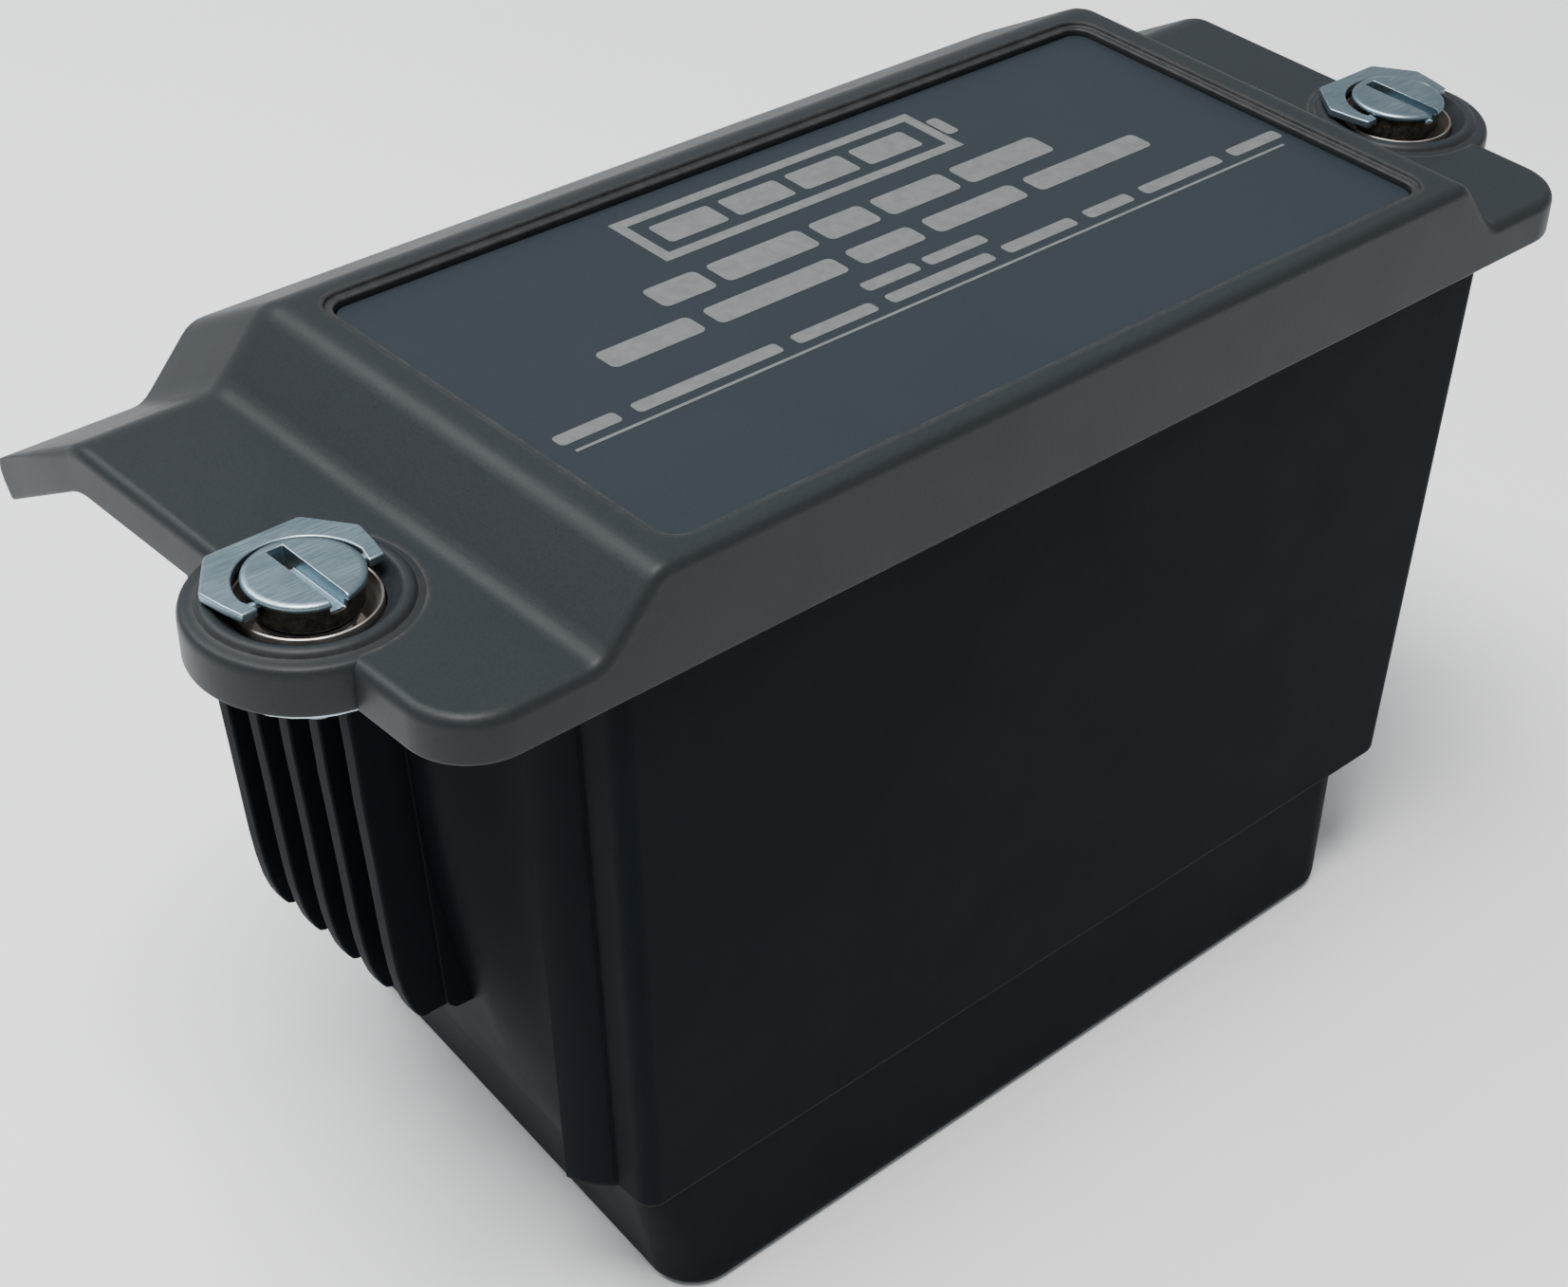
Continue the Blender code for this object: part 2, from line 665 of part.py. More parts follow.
def make_wing(name, centre):
    """Build the folding wing with the two pins it swings on."""
    low = WING_TOP - WING_THICKNESS
    origin = (centre[0], BAIL_AXIS_Y)
    wing = prism(name, [wing_outline(*centre)], low, WING_TOP, METAL, origin)
    boolean(wing, rods("add_wing_pins", bail_axis(centre, 4.7, 7.4), 0.5), "UNION")


def make_fastener(side, label):
    """Build one complete fastener."""
    centre = (side * FASTENER_X, FASTENER_Y)
    make_ferrule(label + "_ferrule", centre)
    make_washer(label + "_retaining_washer", centre)
    make_spring(label + "_lift_spring", centre)
    make_collar(label + "_thrust_collar", centre)
    make_stud(label + "_stud", centre)
    make_wing(label + "_folding_wing", centre)


# Inside ---------------------------------------------------------------------


def cell_spot(column, row):
    """Return the X and Z of one cell's axis."""
    x = (column - (CELL_COLUMNS - 1) / 2) * CELL_PITCH
    return x, CELL_LOWEST + row * CELL_PITCH


def make_cells():
    """Build the cylindrical cells lying front to back."""
    half = CELL_LENGTH / 2
    profile = [(0.0, half), (8.5, half), (CELL_RADIUS, half - 0.6)]
    profile += [(CELL_RADIUS, 0.6 - half), (8.5, -half), (0.0, -half)]
    for row in range(CELL_ROWS):
        for column in range(CELL_COLUMNS):
            x, z = cell_spot(column, row)
            cell = turned("cell_row%d_col%d" % (row + 1, column + 1), profile, (0, 0), CELL, 14)
            cell.location = Vector((x, CELL_CENTRE_Y, z)) * MM
            cell.rotation_euler = (PI / 2, 0.0, 0.0)


def make_carrier(name, front):
    """Build one plate that holds the cells' ends."""
    top = CELL_LOWEST + CELL_PITCH * (CELL_ROWS - 1) + 12.0
    outline = [(-52.4, 22.9), (-52.4, top), (52.4, top), (52.4, 22.9), (49.0, 22.9)]
    outline += [(49.0, 9.3), (37.0, 9.3), (37.0, 22.6), (-37.0, 22.6), (-37.0, 9.3), (-49.0, 9.3), (-49.0, 22.9)]
    back = front + CARRIER_THICKNESS
    plate = side_prism(name, outline, front, back, CARRIER)
    lines = []
    for row in range(CELL_ROWS):
        for column in range(CELL_COLUMNS):
            x, z = cell_spot(column, row)
            lines.append(((x, front - 2, z), (x, back + 2, z)))
    boolean(plate, rods("cut_cells", lines, CELL_RADIUS + 0.35, 14), "DIFFERENCE", "MANIFOLD")
    lines = [((x, y, 8.0), (x, y, 17.0)) for x, y in SCREW_SPOTS if front < y < back]
    boolean(plate, rods("cut_pilots", lines, 1.8), "DIFFERENCE", "MANIFOLD")


def make_busbar(name, columns, front):
    """Build one nickel strip joining whole columns of cells."""
    xs = [cell_spot(column, 0)[0] for column in columns]
    low = CELL_LOWEST - 6
    high = CELL_LOWEST + CELL_PITCH * (CELL_ROWS - 1) + 6
    box(name, (min(xs) - 5, front, low), (max(xs) + 5, front + 0.3, high), NICKEL)


def make_busbars():
    """Build the strips of both ends, which put five groups in series."""
    front = CELL_CENTRE_Y - CELL_LENGTH / 2 - 0.5
    back = CELL_CENTRE_Y + CELL_LENGTH / 2 + 0.2
    for i, columns in enumerate(((0, 1), (2, 3), (4,))):
        make_busbar("busbar_front_%d" % (i + 1), columns, front)
    for i, columns in enumerate(((0,), (1, 2), (3, 4))):
        make_busbar("busbar_back_%d" % (i + 1), columns, back)


def make_insulators():
    """Build the sheets between the strips and the case, and the pad under the lid."""
    low = CELL_LOWEST - 7
    high = CELL_LOWEST + CELL_PITCH * (CELL_ROWS - 1) + 9
    box("front_insulator", (-54, -37.4, low), (54, -36.7, high), PAPER)
    box("back_insulator", (-54, 32.2, low), (54, 32.9, high), PAPER)
    box("top_foam_pad", (-50, -25, 93.5), (44, 19, 107.0), FOAM)


def make_board():
    """Build the protection board with its power devices, fuse and sensor."""
    box("protection_board", (-55, -32, 86.0), (55, 27, 87.6), BOARD)
    for i in range(2):
        x = 22 + i * 12
        box("power_transistor_%d" % (i + 1), (x - 3.2, -30, 87.9), (x + 3.2, -28, 91.2), CHIP)
    box("blade_fuse", (46.5, -11, 87.9), (52.5, 8, 92.5), FUSE)
    x, z = cell_spot(2, 2)
    box("cell_thermistor", (x - 2.0, -5.0, z + 9.5), (x + 2.0, 1.0, z + 11.2), CHIP)


def make_output():
    """Build the contact block in the case's floor and its blades."""
    block = rounded_rectangle(PORT_X - 2.3, PORT_FRONT + 0.3, PORT_X + 2.3, PORT_BACK - 0.3, 0.9, 3)
    body = prism("output_contact_block", [block], 0.5, FLOOR + 9, CONNECTOR)
    low = (PORT_X - 4.6, PORT_FRONT - 2.0, FLOOR + 0.3)
    boolean(body, box("add_shoulder", low, (PORT_X + 4.6, PORT_BACK + 2.0, FLOOR + 2.3)), "UNION")
    middle = (PORT_FRONT + PORT_BACK) / 2
    for i in range(3):
        y = middle + (i - 1) * 11.0
        slot = box("cut_slot", (PORT_X - 1.2, y - 4.0, -1), (PORT_X + 1.2, y + 4.0, FLOOR + 7))
        boolean(body, slot, "DIFFERENCE")
        low = (PORT_X - 0.4, y - 3.4, 1.6)
        box("output_contact_%d" % (i + 1), low, (PORT_X + 0.4, y + 3.4, FLOOR + 6.7), NICKEL)


def make_leads():
    """Build the two leads that run from the outer strips up to the board."""
    for name, side, mat in (("positive_lead", 1, RED), ("negative_lead", -1, BLACK)):
        points = [(side * 50, 33.0, 84.6), (side * 53, 33.0, 86), (side * 56.8, 32.2, 88.5), (side * 57.4, 29.8, 90.4)]
        points += [(side * 56.6, 26.0, 91.4), (side * 54.2, 22.2, 91.2), (side * 51.2, 20.2, 89.8)]
        wire(name, points, 0.9, mat)


clear_scene()
PARTS = collection("battery_pack")
CUTTERS = collection("cutters", hidden=True)
PLASTIC_TOP = material("cover_plastic", (0.052, 0.068, 0.088), 0.55)
PLASTIC_CASE = material("case_plastic", (0.020, 0.026, 0.034), 0.5)
LABEL = material("label_film", (0.030, 0.026, 0.024), 0.35)
RUBBER = material("seal_rubber", (0.010, 0.010, 0.011), 0.8)
METAL = material("fastener_steel", (0.55, 0.60, 0.66), 0.3, 1.0)
CUP = material("ferrule_metal", (0.42, 0.38, 0.34), 0.35, 1.0)
STEEL = material("spring_steel", (0.45, 0.46, 0.48), 0.35, 1.0)
CELL = material("cell_wrap", (0.08, 0.22, 0.42), 0.4)
CARRIER = material("carrier_plastic", (0.12, 0.12, 0.12), 0.6)
NICKEL = material("nickel_strip", (0.62, 0.60, 0.55), 0.35, 1.0)
PAPER = material("barrier_sheet", (0.55, 0.50, 0.38), 0.9)
FOAM = material("foam_pad", (0.05, 0.05, 0.05), 0.95)
BOARD = material("circuit_board", (0.03, 0.16, 0.07), 0.5)
CHIP = material("component_body", (0.02, 0.02, 0.02), 0.45)
FUSE = material("fuse_body", (0.55, 0.24, 0.04), 0.4)
CONNECTOR = material("connector_plastic", (0.03, 0.03, 0.03), 0.5)
RED = material("red_wire", (0.50, 0.03, 0.02), 0.5)
BLACK = material("black_wire", (0.02, 0.02, 0.02), 0.5)

make_lid()
make_label()
make_gasket()
make_tub()
make_screws()
make_fastener(-1, "left")
make_fastener(1, "right")
make_cells()
make_carrier("front_cell_carrier", CELL_CENTRE_Y - 31.4)
make_carrier("back_cell_carrier", CELL_CENTRE_Y + 24.4)
make_busbars()
make_insulators()
make_board()
make_output()
make_leads()
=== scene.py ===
import json
import math

import bmesh
import bpy
from mathutils import Matrix, Vector


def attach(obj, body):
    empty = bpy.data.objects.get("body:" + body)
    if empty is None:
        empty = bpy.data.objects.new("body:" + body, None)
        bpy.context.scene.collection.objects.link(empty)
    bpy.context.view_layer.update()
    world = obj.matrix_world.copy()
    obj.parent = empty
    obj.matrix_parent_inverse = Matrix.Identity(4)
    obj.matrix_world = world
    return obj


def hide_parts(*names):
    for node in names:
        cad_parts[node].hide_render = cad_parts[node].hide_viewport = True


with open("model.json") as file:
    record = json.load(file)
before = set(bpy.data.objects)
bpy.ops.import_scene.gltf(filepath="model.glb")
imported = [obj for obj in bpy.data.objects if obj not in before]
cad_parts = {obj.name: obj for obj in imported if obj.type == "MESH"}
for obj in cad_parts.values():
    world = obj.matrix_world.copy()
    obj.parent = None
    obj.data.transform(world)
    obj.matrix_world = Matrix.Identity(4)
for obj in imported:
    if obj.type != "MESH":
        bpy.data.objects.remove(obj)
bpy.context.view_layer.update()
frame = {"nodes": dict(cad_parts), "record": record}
MM = 0.001
PI = math.pi

# Cover, millimetres in the pack's frame; TOP is the flange's upper face
TOP = 107.2
DEPTH = 5.9
RISE = 8.4
LID_HALF = 92.3
LID_FRONT = -43.1
BEND = 24.9
BEND_REACH = 2.0
LID_BACK = 43.1
SKIRT_CORNER = 43.7
SKIRT_ROUND = 1.6
SLOPE = 0.581
FRONT_CORNER = 8.0
BACK_CORNER = 2.3
RIM_ROUND = 1.5
RAMP = ((75.4, 0.0), (74.6, 0.08), (73.9, 0.32), (73.2, 0.8), (72.4, 1.6), (67.6, 7.0))
RAMP += ((67.0, 7.6), (66.3, 8.05), (65.5, 8.32), (64.6, 8.4))
RECESS_HALF = 62.4
RECESS_FRONT = -40.0
RECESS_BACK = 22.4
LABEL_TOP = TOP + RISE - 1.4
FASTENER_X = 89.0
FASTENER_Y = -14.2
WING_AXIS_Y = FASTENER_Y - 0.6
WING_AXIS_Z = TOP + 1.85

# Case: half widths of the front panel at the step, and how far each stretch leans out
TUB_TOP = 100.9
STEP_Z = 22.1
PANEL_LEFT = 68.6
PANEL_RIGHT = 70.9
PANEL_LEAN = 3.3
PILASTER_WIDTH = 3.6
WALL_TUCK = 12.2
FIN_FRONTS = (-13.9, -7.2, -0.5, 6.3, 13.0)
FIN_THICKNESS = 2.15
FIN_TOP = 98.6
SCREW_SPOTS = ((-43, -30), (43, -30), (-43, 25), (43, 25))
PORT = (52.4, -21, 57.6, 17)

# Fasteners: radii, and heights above the flange
LOBE_RADIUS = 13.0
BORE_RADIUS = 12.0
HEAD_RADIUS = 6.4
HEAD_RISE = 3.05
NECK_RADIUS = 5.8
SHAFT_RADIUS = 3.0
SLOT_HALF = 0.98
CROSS_PIN_DEPTH = 12.4
CROSS_PIN_REACH = 3.8
WING_LOW = 1.3
WING_HIGH = 2.4
PIVOT_RADIUS = 0.5
PIVOT_HOLE = 0.62

# Camera: azimuth, elevation and roll in degrees, and its place in metres
VIEW_ANGLES = (48.91, 39.09, 5.14)
VIEW_POINT = (-0.21506, -0.22522, 0.27932)


# Shapes ---------------------------------------------------------------------


def link(name, mesh, mat=None):
    """Link a mesh as an object with one material."""
    obj = bpy.data.objects.new(name, mesh)
    bpy.context.scene.collection.objects.link(obj)
    if mat:
        mesh.materials.clear()
        mesh.materials.append(mat)
    return obj


def loft(name, rings, mat=None):
    """Skin a stack of sections in millimetres and cap both ends."""
    bm = bmesh.new()
    rows = [[bm.verts.new([c * MM for c in point]) for point in ring] for ring in rings]
    count = len(rows[0])
    for low, high in zip(rows, rows[1:]):
        for i in range(count):
            j = (i + 1) % count
            bm.faces.new((low[i], low[j], high[j], high[i]))
    bm.faces.new(rows[0][::-1])
    bm.faces.new(rows[-1])
    bmesh.ops.recalc_face_normals(bm, faces=bm.faces)
    mesh = bpy.data.meshes.new(name)
    bm.to_mesh(mesh)
    bm.free()
    return link(name, mesh, mat)


def turned(name, profile, centre=(0.0, 0.0), mat=None, segments=96):
    """Turn a closed r-z profile around a vertical axis."""
    bm = bmesh.new()
    closed = profile[0][0] > 1e-6
    verts = [bm.verts.new((r * MM, 0.0, z * MM)) for r, z in profile]
    edges = [bm.edges.new(pair) for pair in zip(verts, verts[1:])]
    if closed:
        edges.append(bm.edges.new((verts[-1], verts[0])))
    bmesh.ops.spin(
        bm,
        geom=verts + edges,
        angle=2 * PI,
        steps=segments,
        axis=(0, 0, 1),
        cent=(0, 0, 0),
        use_merge=True,
        use_duplicate=False,
    )
    bmesh.ops.remove_doubles(bm, verts=bm.verts, dist=1e-7)
    bmesh.ops.recalc_face_normals(bm, faces=bm.faces)
    mesh = bpy.data.meshes.new(name)
    bm.to_mesh(mesh)
    bm.free()
    obj = link(name, mesh, mat)
    obj.location = (centre[0] * MM, centre[1] * MM, 0.0)
    return obj


def rod(name, start, end, radius, segments=24):
    """Return a straight capped cylinder between two points."""
    start, end = Vector(start) * MM, Vector(end) * MM
    turn = (end - start).to_track_quat("Z", "Y").to_matrix().to_4x4()
    bm = bmesh.new()
    bmesh.ops.create_cone(
        bm,
        cap_ends=True,
        segments=segments,
        radius1=radius * MM,
        radius2=radius * MM,
        depth=(end - start).length,
        matrix=Matrix.Translation((start + end) / 2) @ turn,
    )
    mesh = bpy.data.meshes.new(name)
    bm.to_mesh(mesh)
    bm.free()
    return link(name, mesh)


def block(name, low, high, mat=None):
    """Return an axis-aligned box between two corners."""
    low, high = Vector(low) * MM, Vector(high) * MM
    bm = bmesh.new()
    bmesh.ops.create_cube(bm, size=1.0)
    bmesh.ops.scale(bm, vec=high - low, verts=bm.verts)
    bmesh.ops.translate(bm, vec=(low + high) / 2, verts=bm.verts)
    mesh = bpy.data.meshes.new(name)
    bm.to_mesh(mesh)
    bm.free()
    return link(name, mesh, mat)


def slab(name, outline, low, high, mat=None):
    """Extrude one plan outline between two heights."""
    return loft(name, [[(x, y, z) for x, y in outline] for z in (low, high)], mat)


def side_slab(name, outline, front, back, mat=None):
    """Extrude an X-Z outline between two depths."""
    return loft(name, [[(x, y, z) for x, z in outline] for y in (front, back)], mat)


def arc(cx, cy, radius, start, end, steps):
    """Return points on an arc, angles in degrees."""
    points = []
    for i in range(steps + 1):
        angle = math.radians(start + (end - start) * i / steps)
        points.append((cx + radius * math.cos(angle), cy + radius * math.sin(angle)))
    return points


def rounded(x0, y0, x1, y1, radius, steps=8):
    """Return a counter-clockwise rectangle with round corners."""
    return (
        arc(x0 + radius, y0 + radius, radius, 180, 270, steps)
        + arc(x1 - radius, y0 + radius, radius, 270, 360, steps)
        + arc(x1 - radius, y1 - radius, radius, 0, 90, steps)
        + arc(x0 + radius, y1 - radius, radius, 90, 180, steps)
    )


def mirror_x(points):
    """Mirror an outline in the Y axis and keep its direction."""
    return [(-x, y) for x, y in reversed(points)]


def cut(obj, tool, operation="DIFFERENCE"):
    """Apply one Boolean and remove its tool."""
    mod = obj.modifiers.new("cut", "BOOLEAN")
    mod.operation = operation
    mod.solver = "EXACT"
    mod.object = tool
    bake(obj)
    bpy.data.objects.remove(tool, do_unlink=True)


def bake(obj):
    """Replace an object's mesh with its evaluated mesh."""
    depsgraph = bpy.context.evaluated_depsgraph_get()
    mesh = bpy.data.meshes.new_from_object(obj.evaluated_get(depsgraph))
    obj.modifiers.clear()
    obj.data = mesh


def soften(obj, width, segments=2, angle=35, weigh=None):
    """Round the sharp edges; weigh gives each edge's share of the width."""
    mesh = obj.data
    bm = bmesh.new()
    bm.from_mesh(mesh)
    bmesh.ops.dissolve_limit(
        bm, angle_limit=math.radians(0.5), verts=bm.verts, edges=bm.edges, use_dissolve_boundaries=False
    )
    layer = bm.edges.layers.float.get("bevel_weight_edge")
    if layer is None:
        layer = bm.edges.layers.float.new("bevel_weight_edge")
    for edge in bm.edges:
        sharp = len(edge.link_faces) == 2 and edge.calc_face_angle(0) > math.radians(angle)
        edge[layer] = (weigh(edge) if weigh else 1.0) if sharp else 0.0
    bm.to_mesh(mesh)
    bm.free()
    mod = obj.modifiers.new("round", "BEVEL")
    mod.width = width * MM
    mod.segments = segments
    mod.limit_method = "WEIGHT"
    mod.use_clamp_overlap = False
    mod.miter_outer = "MITER_SHARP"
    bake(obj)


def finish_surface(obj, body="pack", replaces=(), angle=32):
    """Shade a finished piece and attach it to its body."""
    mesh = obj.data
    mesh.shade_smooth()
    mesh.set_sharp_from_angle(angle=math.radians(angle))
    mod = obj.modifiers.new("normals", "WEIGHTED_NORMAL")
    mod.keep_sharp = True
    mod.weight = 100
    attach(obj, body)
    if replaces:
        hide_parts(*replaces)
    return obj


# Materials ------------------------------------------------------------------


class Shader:
    """A small builder for one procedural Principled material."""

    def __init__(self, name, roughness=0.5, metallic=0.0):
        self.mat = bpy.data.materials.new(name)
        self.mat.use_nodes = True
        self.tree = self.mat.node_tree
        self.out = self.tree.nodes["Principled BSDF"]
        self.out.inputs["Metallic"].default_value = metallic
        self.out.inputs["Roughness"].default_value = roughness
        self.out.inputs["Specular IOR Level"].default_value = 0.5 if metallic else 0.32
        self.coord = self.tree.nodes.new("ShaderNodeTexCoord").outputs["Object"]

    def wire(self, a, b):
        self.tree.links.new(a, b)

    def stretch(self, scale):
        node = self.tree.nodes.new("ShaderNodeMapping")
        node.inputs["Scale"].default_value = scale
        self.wire(self.coord, node.inputs["Vector"])
        return node.outputs["Vector"]

    def noise(self, scale, detail=2.0, vector=None, rough=0.5):
        node = self.tree.nodes.new("ShaderNodeTexNoise")
        node.inputs["Scale"].default_value = scale
        node.inputs["Detail"].default_value = detail
        node.inputs["Roughness"].default_value = rough
        self.wire(vector or self.coord, node.inputs["Vector"])
        return node.outputs["Fac"]

    def radius(self, scale):
        """Return the scaled distance from the piece's own vertical axis."""
        split = self.tree.nodes.new("ShaderNodeVectorMath")
        split.operation = "MULTIPLY"
        split.inputs[1].default_value = (scale, scale, 0.0)
        self.wire(self.coord, split.inputs[0])
        size = self.tree.nodes.new("ShaderNodeVectorMath")
        size.operation = "LENGTH"
        self.wire(split.outputs[0], size.inputs[0])
        join = self.tree.nodes.new("ShaderNodeCombineXYZ")
        self.wire(size.outputs["Value"], join.inputs["X"])
        return join.outputs[0]

    def edges(self, radius=0.6):
        """Return 1 on edges and 0 on flat faces, from the rounded normal."""
        bevel = self.tree.nodes.new("ShaderNodeBevel")
        bevel.samples = 6
        bevel.inputs["Radius"].default_value = radius * MM
        geometry = self.tree.nodes.new("ShaderNodeNewGeometry")
        dot = self.tree.nodes.new("ShaderNodeVectorMath")
        dot.operation = "DOT_PRODUCT"
        self.wire(bevel.outputs["Normal"], dot.inputs[0])
        self.wire(geometry.outputs["Normal"], dot.inputs[1])
        return self.span(dot.outputs["Value"], 0.86, 0.995, 1.0, 0.0)

    def span(self, value, a, b, c, d):
        node = self.tree.nodes.new("ShaderNodeMapRange")
        for i, number in enumerate((a, b, c, d)):
            node.inputs[1 + i].default_value = number
        self.wire(value, node.inputs[0])
        return node.outputs[0]

    def math(self, operation, a, b):
        node = self.tree.nodes.new("ShaderNodeMath")
        node.operation = operation
        for socket, value in zip(node.inputs, (a, b)):
            if isinstance(value, (int, float)):
                socket.default_value = value
            else:
                self.wire(value, socket)
        return node.outputs[0]

    def mix(self, factor, a, b):
        node = self.tree.nodes.new("ShaderNodeMix")
        node.data_type = "RGBA"
        self.wire(factor, node.inputs["Factor"])
        for key, value in (("A", a), ("B", b)):
            socket = [s for s in node.inputs if s.name == key and s.type == "RGBA"][0]
            if isinstance(value, (tuple, list)):
                socket.default_value = (*value, 1.0)
            else:
                self.wire(value, socket)
        return [s for s in node.outputs if s.type == "RGBA"][0]

    def base(self, colour):
        self.wire(colour, self.out.inputs["Base Color"])

    def rough(self, value):
        self.wire(value, self.out.inputs["Roughness"])

    def bump(self, height, distance, strength=1.0):
        node = self.tree.nodes.new("ShaderNodeBump")
        node.inputs["Strength"].default_value = strength
        node.inputs["Distance"].default_value = distance * MM
        self.wire(height, node.inputs["Height"])
        if self.out.inputs["Normal"].is_linked:
            self.wire(self.out.inputs["Normal"].links[0].from_socket, node.inputs["Normal"])
        self.wire(node.outputs["Normal"], self.out.inputs["Normal"])


def plastic(name, dark, light, edge, roughness, grain, edge_share=0.6, gloss=0.32, reach=0.6):
    """Fine-textured moulded plastic: mottled tone, grain, and paler edges that are a painted highlight
    along the rims.
    """
    s = Shader(name, roughness)
    s.out.inputs["Specular IOR Level"].default_value = gloss
    tone = s.span(s.noise(30.0, 3.0, rough=0.5), 0.3, 0.7, 0.0, 1.0)
    colour = s.mix(tone, dark, light)
    speck = s.span(s.noise(2600.0, 1.0), 0.3, 0.75, 0.0, 0.5)
    colour = s.mix(speck, colour, [c * 1.25 for c in light])
    # Paler edges: a painted highlight along the rims, broken into speckles
    highlight_speckle = s.span(s.noise(420.0, 5.0, rough=0.7), 0.42, 0.62, 0.35, 1.0)
    rim_highlight = s.math("MULTIPLY", s.math("MULTIPLY", s.edges(reach), highlight_speckle), edge_share)
    s.base(s.mix(rim_highlight, colour, edge))
    s.rough(s.span(s.noise(90.0, 4.0, rough=0.6), 0.3, 0.7, roughness - 0.025, roughness + 0.03))
    s.bump(s.noise(2100.0, 2.0, rough=0.6), grain, 0.45)
    s.bump(s.noise(300.0, 2.0), grain * 0.8, 0.25)
    return s.mat


def brushed(name, dark, light, roughness, direction=(1, 30, 30), edge=None):
    """Satin plated steel with fine drawn lines and paler edges."""
    s = Shader(name, roughness, 1.0)
    lines = s.noise(260.0, 3.0, s.stretch(direction), 0.7)
    tone = s.span(lines, 0.3, 0.7, 0.0, 1.0)
    colour = s.mix(tone, dark, light)
    stain = s.span(s.noise(160.0, 4.0), 0.45, 0.75, 0.0, 0.55)
    colour = s.mix(stain, colour, [c * 0.72 for c in dark])
    s.base(s.mix(s.math("MULTIPLY", s.edges(0.35), 0.7), colour, edge or [min(1, c * 1.2) for c in light]))
    s.rough(s.span(lines, 0.2, 0.8, roughness - 0.08, roughness + 0.1))
    s.bump(lines, 0.02, 0.35)
    return s.mat


def ringed(name, dark, light, roughness, scale=2600.0):
    """Turned metal with fine tool rings around its own axis."""
    s = Shader(name, roughness, 1.0)
    rings = s.noise(1.0, 2.0, s.radius(scale))
    stain = s.span(s.noise(300.0, 4.0), 0.35, 0.7, 0.0, 1.0)
    colour = s.mix(s.span(rings, 0.3, 0.7, 0.0, 1.0), dark, light)
    s.base(s.mix(stain, colour, [c * 0.7 for c in dark]))
    s.rough(s.span(rings, 0.2, 0.8, roughness - 0.07, roughness + 0.1))
    s.bump(rings, 0.02, 0.4)
    return s.mat


def moulded(name, dark, light, roughness, scale=300.0, bump=0.03, metallic=0.0):
    """Plain moulded or sheet material for the inner pieces."""
    s = Shader(name, roughness, metallic)
    tone = s.span(s.noise(scale, 4.0, rough=0.65), 0.35, 0.65, 0.0, 1.0)
    s.base(s.mix(tone, dark, light))
    s.rough(s.span(s.noise(scale * 0.4, 3.0), 0.3, 0.7, roughness - 0.06, roughness + 0.08))
    s.bump(s.noise(scale * 5, 2.0), bump, 0.4)
    return s.mat


# Cover ----------------------------------------------------------------------


def fall(y):
    """Return how far the lid has dropped at this depth, past its soft bend."""
    past = y - BEND
    if past <= -BEND_REACH:
        return 0.0
    if past < BEND_REACH:
        return SLOPE * (past + BEND_REACH) ** 2 / (4 * BEND_REACH)
    return SLOPE * past


